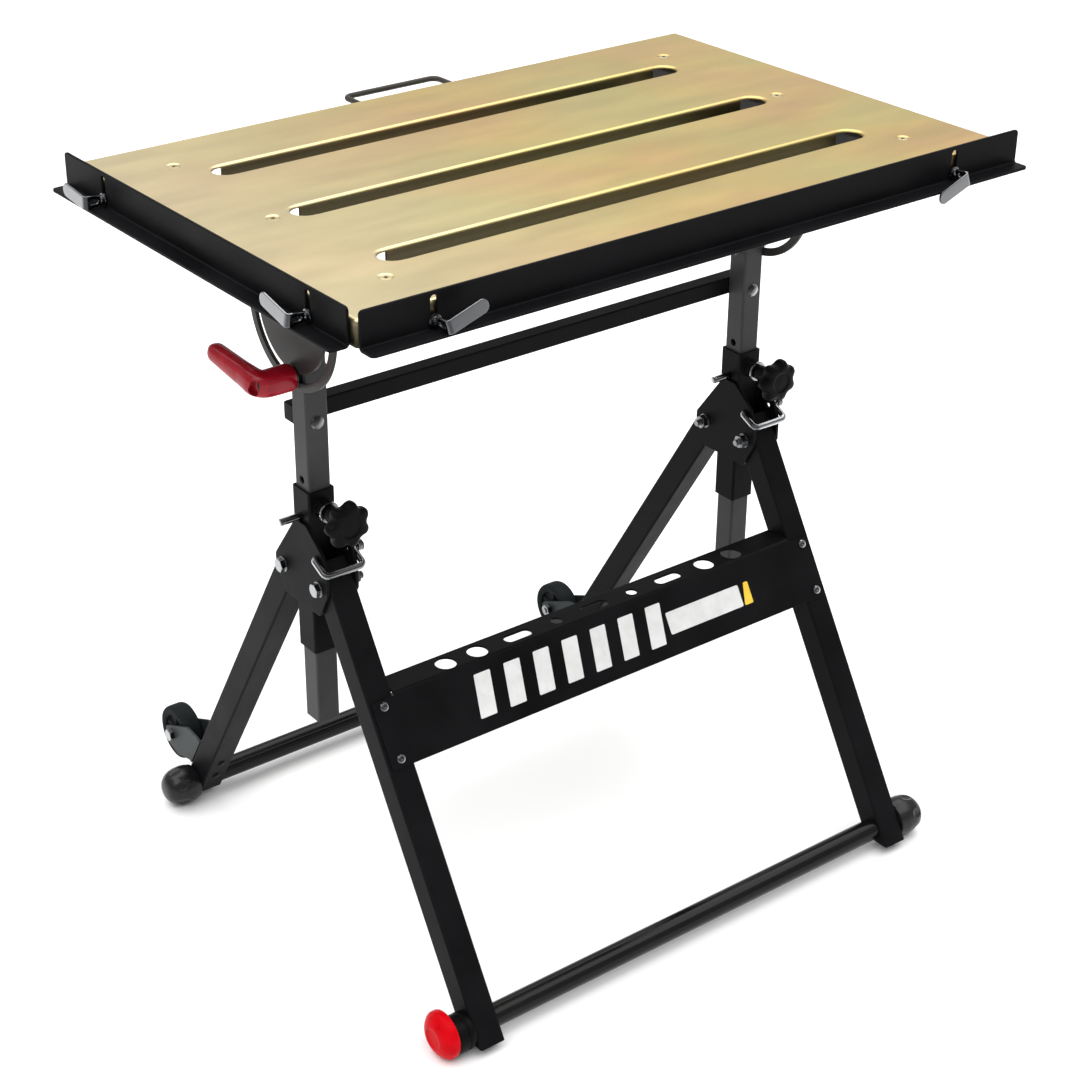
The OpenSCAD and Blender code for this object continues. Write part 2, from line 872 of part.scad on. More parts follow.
table_top();
tilt_bracket_left();
tilt_bracket_right();
top_screws();
carry_handle();
fence_nuts();
fence_left();
fence_front();
fence_lever_left_front();
fence_lever_left_rear();
fence_lever_front_left();
fence_lever_front_right();
post_left();
post_right();
crossbar();
crossbar_caps();
crossbar_bolts();
crossbar_nuts();
tilt_pivot_bolts();
tilt_lock_bolts();
tilt_lock_lever();
sleeve_left();
sleeve_right();
gusset_plates_left();
gusset_plates_right();
leg_bolts();
leg_nuts();
knob_left();
knob_stud_left();
knob_right();
knob_stud_right();
height_pin_left();
height_pin_right();
bail_left();
bail_spring_left();
bail_right();
bail_spring_right();
front_leg_left();
front_leg_right();
front_bar();
tool_tray();
tray_screws();
foot_front_right();
foot_collar();
levelling_foot();
rear_leg_left();
rear_leg_right();
rear_bar();
foot_rear_left();
foot_rear_right();
caster_fork_left();
caster_fork_right();
caster_axles();
caster_tyre_left();
caster_hub_left();
caster_tyre_right();
caster_hub_right();
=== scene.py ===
import json
import math

import bmesh
import bpy
from mathutils import Matrix, Vector


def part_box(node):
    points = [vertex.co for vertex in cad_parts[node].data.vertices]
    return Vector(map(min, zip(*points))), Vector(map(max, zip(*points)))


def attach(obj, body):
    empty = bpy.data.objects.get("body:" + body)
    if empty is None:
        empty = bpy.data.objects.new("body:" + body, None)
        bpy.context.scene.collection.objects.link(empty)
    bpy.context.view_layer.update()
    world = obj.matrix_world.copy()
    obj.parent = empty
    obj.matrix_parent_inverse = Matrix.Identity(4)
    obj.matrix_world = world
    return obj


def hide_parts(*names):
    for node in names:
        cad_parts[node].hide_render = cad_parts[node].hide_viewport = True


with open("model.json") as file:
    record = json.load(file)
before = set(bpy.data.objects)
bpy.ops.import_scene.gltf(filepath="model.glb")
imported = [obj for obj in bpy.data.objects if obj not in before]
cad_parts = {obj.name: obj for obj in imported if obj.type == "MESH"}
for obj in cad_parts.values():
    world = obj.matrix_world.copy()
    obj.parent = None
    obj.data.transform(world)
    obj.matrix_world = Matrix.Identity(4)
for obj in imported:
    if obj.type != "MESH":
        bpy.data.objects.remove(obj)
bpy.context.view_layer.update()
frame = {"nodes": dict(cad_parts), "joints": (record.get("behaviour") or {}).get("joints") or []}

# ---- Measures, from the imported model's boxes and given numbers. Work is in millimetres. ----

MM = 0.001
post_lo, post_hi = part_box("post_left")
post2_lo, post2_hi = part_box("post_right")
top_lo, top_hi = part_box("table_top")
MID_X = (post_lo.x + post2_hi.x) / 2
MID_Y = (post_lo.y + post_hi.y) / 2
SURFACE = top_hi.z
POST_X = (post2_lo.x + post2_hi.x) / 2 / MM - MID_X / MM
HALF_L = (top_hi.x - top_lo.x) / 2 / MM
HALF_W = (top_hi.y - top_lo.y) / 2 / MM
SCREW_X, SCREW_Y = 307.5, 180.0
TOP_SCREWS = [(i * SCREW_X, k * SCREW_Y) for i in (-1, 1) for k in (-1, 0, 1)]
# The leg bolts sit this far each side of the posts, at this height. The legs are square tubes.
HINGE_Y, HINGE_Z = 32.0, -373.0
LEG_W = 29.4
SIDES = ((-1, "left"), (1, "right"))


def local(v):
    """A point of the row frame, in metres, as millimetres from the middle of the top's surface."""
    return Vector(((v[0] - MID_X) / MM, (v[1] - MID_Y) / MM, (v[2] - SURFACE) / MM))


def joint(name):
    return next(j for j in frame["joints"] if j["name"] == name)


def pivot(name):
    return local(joint(name)["pos_m"])


def node_box(name):
    lo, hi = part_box(name)
    return local(lo), local(hi)


# How far a leg leans back for each millimetre that it goes down, as an angle.
SLOPE = math.atan2(abs(pivot("levelling_cap_turn").y) - HINGE_Y, HINGE_Z - pivot("levelling_cap_turn").z)


def place(p=(0, 0, 0), z=(0, 0, 1), x=None):
    """Maps a shape's own millimetres into the row frame: its z axis along z, its origin at p."""
    z = Vector(z).normalized()
    x = Vector(x) if x is not None else Vector((1, 0, 0) if abs(z.x) < 0.9 else (0, 1, 0))
    y = z.cross(x).normalized()
    x = y.cross(z)
    m = Matrix((x, y, z)).transposed().to_4x4()
    m.translation = Vector(p)
    world = Matrix.Translation((MID_X, MID_Y, SURFACE)) @ Matrix.Scale(MM, 4)
    return world @ m


# ---- Mesh tools ----


def arc(cx, cy, r, a0, a1, n):
    return [(cx + r * math.cos(math.radians(a0 + (a1 - a0) * i / n)),
             cy + r * math.sin(math.radians(a0 + (a1 - a0) * i / n))) for i in range(n + 1)]


def circle(r, cx=0, cy=0, n=48):
    return arc(cx, cy, r, 0, 360, n)[:-1]


def rrect(w, h, r, n=6):
    """A rectangle about the origin with rounded corners."""
    out = []
    for sx, sy, a in ((1, 1, 0), (-1, 1, 90), (-1, -1, 180), (1, -1, 270)):
        out += arc(sx * (w / 2 - r), sy * (h / 2 - r), r, a, a + 90, n)
    return out


def oblong(length, r, cx=0, cy=0, n=18):
    """A slot outline of that overall length, along x."""
    d = length / 2 - r
    return arc(cx + d, cy, r, -90, 90, n) + arc(cx - d, cy, r, 90, 270, n)


def corner(p, a, b, radius, n):
    """The arc that rounds corner p, between its neighbours a and b, in n steps."""
    a, b = a - p, b - p
    la, lb = a.length, b.length
    a.normalize()
    b.normalize()
    turn = a.angle(b)
    bend = math.pi - turn
    if radius <= 0 or abs(bend) < 1e-3:
        return [p]
    # An arc stays within its own half of each side.
    d = min(radius / math.tan(turn / 2), 0.49 * la, 0.49 * lb)
    r = d * math.tan(turn / 2)
    centre = p + (a + b).normalized() * (r / math.sin(turn / 2))
    s, e = p + a * d - centre, p + b * d - centre
    return [centre + (s * math.sin((1 - k / n) * bend) + e * math.sin(k / n * bend)) / math.sin(bend)
            for k in range(n + 1)]


def rounded(points, radii, n=6):
    """The polygon with each corner rounded, by one radius or a list of them."""
    pts = [Vector(p) for p in points]
    if not hasattr(radii, "__len__"):
        radii = [radii] * len(pts)
    out = []
    for i, p in enumerate(pts):
        out += corner(p, pts[i - 1], pts[(i + 1) % len(pts)], radii[i], n)
    return out


def bent(points, r, n=8):
    """A path in space with rounded corners."""
    pts = [Vector(p) for p in points]
    out = [pts[0]]
    for a, p, b in zip(pts, pts[1:], pts[2:]):
        out += corner(p, a, b, r, n)
    return [tuple(p) for p in out + [pts[-1]]]


def linked(name, data):
    ob = bpy.data.objects.new(name, data)
    bpy.context.scene.collection.objects.link(ob)
    return ob


def mesh_of(bm, name):
    me = bpy.data.meshes.new(name)
    bm.to_mesh(me)
    bm.free()
    return me


def skin(bm, loops, m, cap=(True, True), wrap=False):
    """Joins rings of equally many points, and closes the first and last ring or wraps round."""
    rows = [[bm.verts.new(m @ Vector((*p, 0)[:3])) for p in loop] for loop in loops]
    n = len(rows[0])
    for a, b in zip(rows, rows[1:] + ([rows[0]] if wrap else [])):
        for i in range(n):
            bm.faces.new((a[i], a[(i + 1) % n], b[(i + 1) % n], b[i]))
    if cap[0]:
        bm.faces.new(rows[0][::-1])
    if cap[1]:
        bm.faces.new(rows[-1])
    return rows


def lathe(bm, profile, m, seg=64):
    """Turns (radius, height) points round z. Points on the axis close the ends."""
    rows = []
    for r, z in profile:
        if r < 1e-6:
            rows.append([bm.verts.new(m @ Vector((0, 0, z)))])
        else:
            rows.append([bm.verts.new(m @ Vector((x, y, z))) for x, y in circle(r, n=seg)])
    for a, b in zip(rows, rows[1:]):
        for i in range(seg):
            j = (i + 1) % seg
            if len(a) == 1 and len(b) > 1:
                bm.faces.new((a[0], b[j], b[i]))
            elif len(b) == 1 and len(a) > 1:
                bm.faces.new((a[i], a[j], b[0]))
            elif len(a) > 1:
                bm.faces.new((a[i], a[j], b[j], b[i]))
    for row in (rows[0][::-1], rows[-1]):
        if len(row) > 1 and profile[0] != profile[-1]:
            bm.faces.new(row)


def turned(bm, rows, n, m, shape, **ends):
    """Rings of n points round z. shape gives a point's radius and height from its angle and its row."""
    loops = []
    for row in rows:
        ring = []
        for i in range(n):
            a = 2 * math.pi * i / n
            r, z = shape(a, *row)
            ring.append((r * math.cos(a), r * math.sin(a), z))
        loops.append(ring)
    skin(bm, loops, m, **ends)


def thread(r, z0, z1, pitch=1.0, depth=0.4):
    """Profile points of a thread, drawn as fine rings, ending in a chamfer."""
    out = []
    n = max(1, round(abs(z1 - z0) / pitch))
    step = (z1 - z0) / n
    for i in range(n):
        out += [(r - depth, z0 + i * step), (r, z0 + (i + 0.5) * step)]
    return out + [(r - depth, z1)]


def frames(points, up=None):
    """Sweep frames that turn as little as possible along a path."""
    pts = [Vector(p) for p in points]
    tangents = [(b - a).normalized() for a, b in zip(pts[:1] + pts, pts[1:] + pts[-1:])]
    n = Vector(up) if up else (Vector((0, 0, 1)) if abs(tangents[0].z) < 0.9 else Vector((1, 0, 0)))
    out = []
    for p, t in zip(pts, tangents):
        n = (n - t * n.dot(t)).normalized()
        out.append((p, n, t.cross(n)))
    return out


def tube(bm, points, r, m, seg=16, up=None, section=None, caps=True):
    """Sweeps a round section, or a list of sections, along a path."""
    loops = []
    for k, (p, n, b) in enumerate(frames(points, up)):
        flat = section[k] if section else circle(r[k] if hasattr(r, "__len__") else r, n=seg)
        loops.append([p + n * u + b * v for u, v in flat])
    skin(bm, loops, m, (caps, caps))


def hexagon(af, n=72, turn=0.0):
    """A hexagon of that width across flats, as n points."""
    out = []
    for i in range(n):
        a = 360 * i / n
        r = af / 2 / math.cos(math.radians((a + 30) % 60 - 30))
        out.append((r * math.cos(math.radians(a + turn)), r * math.sin(math.radians(a + turn))))
    return out


def hexa(bm, af, h, m, both=False, bore=0.0, turn=0.0):
    """A hexagon head or nut standing on z = 0, its outer corners chamfered."""
    flat = hexagon(af, turn=turn)
    rim_r, steep = af * 0.475, 0.55

    def ring(r):
        return [(p[0] * r / math.hypot(*p), p[1] * r / math.hypot(*p)) for p in flat]

    def side(z, sign):
        return [(*p, z - sign * (math.hypot(*p) - rim_r) * steep) for p in flat]

    rim = ring(rim_r)
    loops = [[(*p, 0) for p in rim], side(0, -1)] if both else [[(*p, 0) for p in flat]]
    loops += [side(h, 1), [(*p, h) for p in rim]]
    if bore:
        hole = ring(bore)
        loops = [[(*p, 0) for p in hole]] + loops + [[(*p, h) for p in hole]]
        skin(bm, loops, m, (False, False), wrap=True)
    else:
        skin(bm, loops, m)


def socket_head(bm, m, profile, width, top, bottom):
    """A turned screw head with a hexagon socket of that width across flats."""
    n = 48
    rings = [[(*p, z) for p in circle(r, n=n)] for r, z in profile]
    skin(bm, rings + [[(*p, z) for p in hexagon(width, n)] for z in (top, bottom)], m)


def plate(bm, outline, holes, t, m, bevel=0.6, cuts=(), warp=None):
    """A flat sheet from z = -t/2 to t/2 with softened edges. cuts are y values to split it at,
    and warp bends each of its points."""
    cu = bpy.data.curves.new("tmp", "CURVE")
    cu.dimensions = "2D"
    cu.fill_mode = "BOTH"
    for pts in [outline] + list(holes):
        sp = cu.splines.new("POLY")
        sp.points.add(len(pts) - 1)
        for q, p in zip(sp.points, pts):
            q.co = (p[0] * MM, p[1] * MM, 0, 1)
        sp.use_cyclic_u = True
    cu.extrude = (t / 2 - bevel) * MM
    cu.bevel_depth = bevel * MM
    cu.bevel_resolution = 2
    cu.offset = -bevel * MM
    ob = linked("tmp", cu)
    dg = bpy.context.evaluated_depsgraph_get()
    me = bpy.data.meshes.new_from_object(ob.evaluated_get(dg))
    bpy.data.objects.remove(ob)
    bpy.data.curves.remove(cu)
    part = bmesh.new()
    part.from_mesh(me)
    bpy.data.meshes.remove(me)
    bmesh.ops.scale(part, vec=(1 / MM,) * 3, verts=part.verts)
    bmesh.ops.remove_doubles(part, verts=part.verts, dist=1e-3)
    for y in cuts:
        bmesh.ops.bisect_plane(part, geom=part.verts[:] + part.edges[:] + part.faces[:],
                               plane_co=(0, y, 0), plane_no=(0, 1, 0))
    if warp:
        for v in part.verts:
            v.co = Vector(warp(v.co))
    part.verts.ensure_lookup_table()
    made = [bm.verts.new(m @ v.co) for v in part.verts]
    for f in part.faces:
        bm.faces.new([made[v.index] for v in f.verts])
    part.free()


def fold(y0, radius, angle):
    """A bend for plate(): the sheet beyond y0 turns up towards +z about an arc of that mid radius."""
    theta = math.radians(angle)

    def warp(p):
        s = p.y - y0
        if s <= 0:
            return p
        phi = min(s / radius, theta)
        rest = s - radius * phi
        rr = radius - p.z
        return (p.x, y0 + rr * math.sin(phi) + rest * math.cos(phi),
                radius - rr * math.cos(phi) + rest * math.sin(phi))

    return {"cuts": [y0 + radius * theta * i / 6 for i in range(7)], "warp": warp}


def washer(bm, p, axis, bore, r, closed=False):
    """A washer 1.5 mm thick, standing on p."""
    profile = [(bore, 0), (r - 0.3, 0), (r, 0.3), (r, 1.2), (r - 0.3, 1.5), (bore, 1.5)]
    lathe(bm, profile + profile[:closed], place(p, axis), 40)


def crisp(bm, degrees):
    """Keeps the edges that turn by more than that sharp, and smooths the rest."""
    for e in bm.edges:
        e.smooth = len(e.link_faces) == 2 and e.calc_face_angle(0) < math.radians(degrees)


def piece(bm, name, mat, body, replaces=(), sharp=38, weighted=True):
    """Makes the mesh an object that rides on a body."""
    bmesh.ops.remove_doubles(bm, verts=bm.verts, dist=2e-6)
    bmesh.ops.recalc_face_normals(bm, faces=bm.faces)
    for f in bm.faces:
        f.smooth = True
    crisp(bm, sharp)
    ob = linked(name, mesh_of(bm, name))
    ob.data.materials.append(mat)
    if weighted:
        mod = ob.modifiers.new("weighted", "WEIGHTED_NORMAL")
        mod.keep_sharp = True
        mod.weight = 100
    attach(ob, body)
    if replaces:
        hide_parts(*replaces)
    return ob


# ---- Materials ----


class Paint:
    """A node material with object coordinates."""

    def __init__(self, name, metallic=0.0, **sockets):
        self.mat = bpy.data.materials.new(name)
        self.mat.use_nodes = True
        self.tree = self.mat.node_tree
        self.bsdf = next(n for n in self.tree.nodes if n.type == "BSDF_PRINCIPLED")
        self.feed(self.bsdf, Metallic=metallic, **sockets)
        self.coord = self.node("TexCoord").outputs["Object"]

    def feed(self, node, **inputs):
        """Sets inputs of a node to values, or links them to outputs of others."""
        for key, value in inputs.items():
            socket = node.inputs[key.replace("_", " ")]
            if hasattr(value, "node"):
                self.tree.links.new(value, socket)
            else:
                socket.default_value = value

    def node(self, kind, **inputs):
        made = self.tree.nodes.new("ShaderNode" + kind)
        self.feed(made, **inputs)
        return made

    def noise(self, scale, detail=3.0, stretch=(1, 1, 1), rough=0.55, seed=0.0):
        shift = (seed, seed * 0.7, seed * 1.3)
        at = self.node("Mapping", Scale=stretch, Location=shift, Vector=self.coord).outputs[0]
        return self.node("TexNoise", Scale=scale, Detail=detail, Roughness=rough, Vector=at).outputs["Fac"]

    def along(self, axis, lo, hi):
        """0 to 1 between two places on an axis of the object."""
        at = self.node("SeparateXYZ", Vector=self.coord).outputs[axis]
        return self.node("MapRange", Value=at, From_Min=lo, From_Max=hi).outputs["Result"]

    def ramp(self, fac, stops):
        node = self.node("ValToRGB", Fac=fac)
        els = node.color_ramp.elements
        while len(els) < len(stops):
            els.new(0.5)
        for el, (pos, col) in zip(els, stops):
            el.position = pos
            el.color = (*col, 1) if hasattr(col, "__len__") else (col, col, col, 1)
        return node.outputs["Color"]

    def mix(self, a, b, fac, mode="MIX"):
        node = self.node("Mix")
        node.data_type = "RGBA"
        node.blend_type = mode
        for value, key in ((fac, 0), (a, 6), (b, 7)):
            if hasattr(value, "node"):
                self.tree.links.new(value, node.inputs[key])
            else:
                node.inputs[key].default_value = value if key == 0 else (*value, 1)
        return node.outputs[2]

    def colour(self, out):
        self.feed(self.bsdf, Base_Color=out)

    def rough(self, fac, lo, hi):
        self.feed(self.bsdf, Roughness=self.ramp(fac, [(0.3, lo), (0.7, hi)]))

    def bump(self, *layers):
        """Each layer is (height, distance in millimetres)."""
        below = {}
        for height, distance in layers:
            node = self.node("Bump", Strength=1.0, Distance=distance * MM, Height=height, **below)
            below = {"Normal": node.outputs["Normal"]}
        self.feed(self.bsdf, **below)


def powder(name, dark, light, lo=0.34, hi=0.5, peel=0.05, **sockets):
    """Sprayed paint with a fine peel, its colour and gloss worn unevenly."""
    p = Paint(name, **sockets)
    grain = p.noise(900, 2)
    wear = p.noise(14, 5, seed=3)
    p.colour(p.ramp(wear, [(0.3, dark), (0.75, light)]))
    p.rough(wear, lo, hi)
    p.bump((grain, peel), (p.noise(60, 2, seed=5), peel * 2))
    return p.mat


def bright(name, deep, tint, lo, hi, fine=0.012, scale=40, stretch=(1, 1, 1)):
    """Plated metal with a painted reflection: darker where it faces the viewer and bright along its edges,
    standing in for the surroundings it mirrors.
    """
    p = Paint(name, metallic=1.0)
    cloud = p.noise(scale, 4, stretch=stretch)
    # Painted reflection: the deep colour is painted where the surface faces the viewer, the tint colour towards
    # its edges.
    facing = p.node("LayerWeight", Blend=0.5).outputs["Facing"]
    painted_reflection = p.ramp(facing, [(0.16, deep), (0.70, tint)])
    p.colour(p.mix(painted_reflection, p.ramp(cloud, [(0.3, 0.78), (0.7, 1.0)]), 0.8, "MULTIPLY"))
    p.rough(cloud, lo, hi)
    p.bump((p.noise(scale * 14, 3, seed=2), fine))
    return p.mat


def plastic(name, dark, light, lo=0.3, hi=0.45, grain=0.02, **sockets):
    """Moulded plastic or rubber with a fine grain."""
    p = Paint(name, **sockets)
    cloud = p.noise(70, 4)
    p.colour(p.ramp(cloud, [(0.3, dark), (0.7, light)]))
    p.rough(cloud, lo, hi)
    p.bump((p.noise(1300, 2, seed=1), grain))
    return p.mat


def gold_plate():
    """Yellow passivated zinc: soft iridescent clouds, and faint rolling lines."""
    p = Paint("gold_plate", metallic=0.92)
    streak = p.noise(5, 2, stretch=(0.7, 1.2, 1), rough=0.4, seed=2.3)
    tint = p.noise(7, 2, stretch=(0.8, 1.2, 1), rough=0.4, seed=7.1)
    fine = p.noise(55, 5, stretch=(0.12, 1, 1), rough=0.6)
    gold = [(0.3, (0.56, 0.40, 0.145)), (0.5, (0.61, 0.45, 0.175)), (0.72, (0.54, 0.43, 0.15))]
    rose = [(0.38, (0.53, 0.50, 0.21)), (0.52, (0.60, 0.45, 0.18)), (0.68, (0.64, 0.39, 0.20))]
    base = p.mix(p.ramp(streak, gold), p.ramp(tint, rose), 0.45)
    # Painted reflection: the plating is paler towards the left end, where it mirrors the bright surroundings.
    painted_left_glare = p.ramp(p.along("X", -0.40, 0.40), [(0.0, 0.75), (0.5, 0.0)])
    base = p.mix(base, (0.74, 0.64, 0.42), painted_left_glare)
    # Painted shade: the colour darkens down the folded edges and slot walls, where shade falls.
    depth = p.along("Z", SURFACE - 20 * MM, SURFACE)
    painted_shade = p.ramp(depth, [(0.0, 0.04), (0.7, 0.16), (0.88, 0.34), (0.965, 1.0)])
    base = p.mix(base, painted_shade, 1.0, "MULTIPLY")
    p.colour(p.mix(base, p.ramp(fine, [(0.3, 0.84), (0.7, 1.0)]), 0.4, "MULTIPLY"))
    p.rough(p.noise(30, 4, stretch=(0.3, 1, 1), seed=4), 0.30, 0.38)
    p.bump((fine, 0.01))
    return p.mat


DULL = {"Specular_IOR_Level": 0.045}
SATIN = {"Specular_IOR_Level": 0.16}
GOLD = gold_plate()
BLACK = powder("black_powder", (0.0035, 0.0035, 0.004), (0.007, 0.007, 0.008), **DULL)
BLACK_GLOSS = powder("black_gloss", (0.003, 0.003, 0.003), (0.006, 0.006, 0.006), 0.10, 0.2, 0.02, **SATIN)
GREY = powder("grey_paint", (0.028, 0.028, 0.029), (0.045, 0.045, 0.046), 0.36, 0.5, 0.03, **SATIN)
DARK_GREY = powder("bracket_paint", (0.020, 0.019, 0.018), (0.036, 0.034, 0.033), 0.3, 0.44, 0.03, **SATIN)
TEAL = powder("fork_paint", (0.012, 0.016, 0.017), (0.026, 0.032, 0.034), 0.3, 0.45, 0.03, **SATIN)
BRONZE = powder("handle_paint", (0.021, 0.019, 0.014), (0.044, 0.040, 0.030), 0.3, 0.45, 0.03, **SATIN)
# The chrome, lever, zinc and gold screw colours carry the painted reflection of bright().
CHROME = bright("chrome", (0.08, 0.083, 0.088), (0.80, 0.81, 0.82), 0.10, 0.2)
LEVER = bright("lever_plate", (0.05, 0.052, 0.056), (0.40, 0.41, 0.42), 0.16, 0.3)
ZINC = bright("zinc", (0.045, 0.045, 0.047), (0.56, 0.57, 0.59), 0.24, 0.40, 0.02, 90)
GOLD_SCREW = bright("gold_screw", (0.42, 0.33, 0.17), (0.78, 0.66, 0.40), 0.26, 0.42, 0.02, 90)
PLASTIC = plastic("black_plastic", (0.002, 0.002, 0.002), (0.0045, 0.0045, 0.0045), Specular_IOR_Level=0.05)
RUBBER = plastic("foot_rubber", (0.004, 0.004, 0.005), (0.009, 0.009, 0.010), 0.2, 0.32, 0.03,
                 Specular_IOR_Level=0.3)
RED = plastic("red_grip", (0.23, 0.003, 0.010), (0.31, 0.005, 0.015), 0.14, 0.22, 0.015,
              Specular_IOR_Level=0.25)
RED_CAP = plastic("red_cap", (0.46, 0.0008, 0.004), (0.56, 0.0015, 0.007), 0.26, 0.4, 0.02, **DULL)
TYRE = plastic("wheel_tyre", (0.007, 0.009, 0.0095), (0.013, 0.016, 0.017), 0.5, 0.7, 0.05, **DULL)
HUB = plastic("wheel_hub", (0.007, 0.009, 0.009), (0.015, 0.018, 0.018), 0.35, 0.5, 0.02, **DULL)
WHITE_VINYL = plastic("white_vinyl", (0.62, 0.62, 0.61), (0.72, 0.72, 0.72), 0.3, 0.45, 0.01)
YELLOW_VINYL = plastic("yellow_vinyl", (0.80, 0.50, 0.03), (0.88, 0.58, 0.05), 0.3, 0.45, 0.01)

# ---- Table top ----


def make_top():
    slot_r, slot_len, pitch = 14.0, 574.0, 140.0
    # The flanges folded down along a slot reach run each side of its middle.
    run, cut = 270.0, 0.1
    skirt = (top_hi.z - top_lo.z) / MM
    t, bend = 3.0, 4.0
    bm = bmesh.new()
    m = place()

    def outline(inset, z):
        r = max(bend + 1.0 - inset, 0.8)
        return [(*p, z) for p in rrect(2 * (HALF_L - inset), 2 * (HALF_W - inset), r, 6)]

    outer = []
    for k in range(7):
        a = math.radians(15 * k)
        outer.append(outline(bend * (1 - math.sin(a)), -bend * (1 - math.cos(a))))
    outer += [outline(0, -skirt + 0.6), outline(0.6, -skirt), outline(t - 0.6, -skirt),
              outline(t, -skirt + 0.6), outline(t, -t - 1), outline(t + 1, -t)]
    rows = skin(bm, outer, m, (False, False))
    tops, unders = [rows[0]], [rows[-1]]
    roll, depth, lip = 4.0, 20.0, 2.5
    for k in (-1, 0, 1):
        def slot(off, z, z_end):
            """One ring of a slot: z along the folded flanges, z_end past their ends."""
            r, half, y = slot_r + off, slot_len / 2 - slot_r, k * pitch
            side = [(run + cut, r), (run - cut, r), (cut - run, r), (-run - cut, r)]
            ring = arc(half, 0, r, -90, 90, 18) + side + arc(-half, 0, r, 90, 270, 18)
            ring += [(-q[0], -q[1]) for q in side]
            return [(q[0], q[1] + y, z if abs(q[0]) < run else z_end) for q in ring]
        loops = []
        for i in range(6):
            a = math.radians(18 * i)
            z = -roll * (1 - math.cos(a))
            loops.append(slot(roll * (1 - math.sin(a)), z, z * 0.6))
        loops += [slot(0, -depth + 0.4, -t + 0.3), slot(0.4, -depth, -t), slot(lip - 0.4, -depth, -t),
                  slot(lip, -depth + 0.4, -t), slot(lip + 0.1, -t - 1.2, -t), slot(roll, -t, -t)]
        rows = skin(bm, loops, m, (False, False))
        tops.append(rows[0])
        unders.append(rows[-1])
    sink = ((8.5, 0), (7.2, -0.25), (5.9, -0.7), (5.7, -0.9), (2.7, -3.0))
    for c in TOP_SCREWS:
        rows = skin(bm, [[(*p, z) for p in circle(r, *c, 32)] for r, z in sink], m, (False, False))
        tops.append(rows[0])
        unders.append(rows[-1])
    for rings in (tops, unders):
        edges = [bm.edges.get((a, b)) or bm.edges.new((a, b))
                 for ring in rings for a, b in zip(ring, ring[1:] + ring[:1])]
        bmesh.ops.triangle_fill(bm, use_beauty=True, use_dissolve=False, edges=edges)
    piece(bm, "top_sheet", GOLD, "table", ["table_top"])

    bm = bmesh.new()
    head = ((2.5, -11), (2.5, -1.9), (5.4, -0.05), (5.2, 0.1), (2.6, 0.2))
    for c in TOP_SCREWS:
        socket_head(bm, place((*c, -0.9)), head, 3.6, 0.15, -1.6)
    piece(bm, "top_screw_heads", GOLD_SCREW, "table", ["top_screws"])


def make_handle():
    lo, hi = node_box("carry_handle")
    z = (lo.z + hi.z) / 2
    r = 3.0
    y0, y1 = lo.y, hi.y - r
    x0, x1 = lo.x + 6, hi.x - 6
    bm = bmesh.new()
    path = bent([(x0, y0, z), (x0, y1, z), (x1, y1, z), (x1, y0, z)], 9)
    tube(bm, path, r, place(), 20, up=(0, 0, 1))
    for x in (x0, x1):
        boss = [(0, 0), (6, 0), (6, 1.2), (5.2, 2.2), (3.4, 3.4), (3.0, 4.6)]
        lathe(bm, boss, place((x, y0, z), (0, 1, 0)), 32)
    piece(bm, "carry_handle_rod", BRONZE, "table", ["carry_handle"])


# ---- Guide rails, their levers and nuts ----


def make_rail(node, along, out, fixings, name, body):
    """An angle with a rounded bend. along and out are the rail's directions in plan."""
    lo, hi = node_box(node)
    along, out = Vector(along), Vector(out)
    t, inner = 3.0, 1.6
    mid_r = inner + t / 2
    near, far = sorted((along.dot(lo), along.dot(hi)))
    face, reach = sorted((out.dot(lo), out.dot(hi)))
    mid, w = (near + far) / 2, (far - near) / 2
    # Flat pattern: y = 0 at the rail's upper edge, the foot beyond the bend.
    upright = hi.z - lo.z - inner - t
    total = upright + mid_r * math.pi / 2 + reach - face - inner - t
    outline = rounded([(-w, 0), (w, 0), (w, total), (-w, total)], [4, 4, 5, 5], 8)
    # The sheet's own axes: x along the rail, y downwards, z outwards.
    side = 1 if along.cross((0, 0, -1)).dot(out) > 0 else -1
    down = hi.z - (BOLT_Z + 9.5)
    holes = [[(p[1] + side * (x - mid), p[0] + down) for p in oblong(26.2, 3.6)] for x in fixings]
    m = place(along * mid + out * (face + t / 2) + Vector((0, 0, hi.z)), out, along * side)
    bm = bmesh.new()
    plate(bm, outline, holes, t, m, 0.7, **fold(upright, mid_r, 90))
    piece(bm, name, BLACK, body, [node])


BOLT_Z = pivot("lever_front_left_turn").z
# Degrees that each lever's paddle is turned from level, seen from its own side.
LEVER_TURNS = {"front_left": 18, "front_right": 200, "left_front": 167, "left_rear": 174}


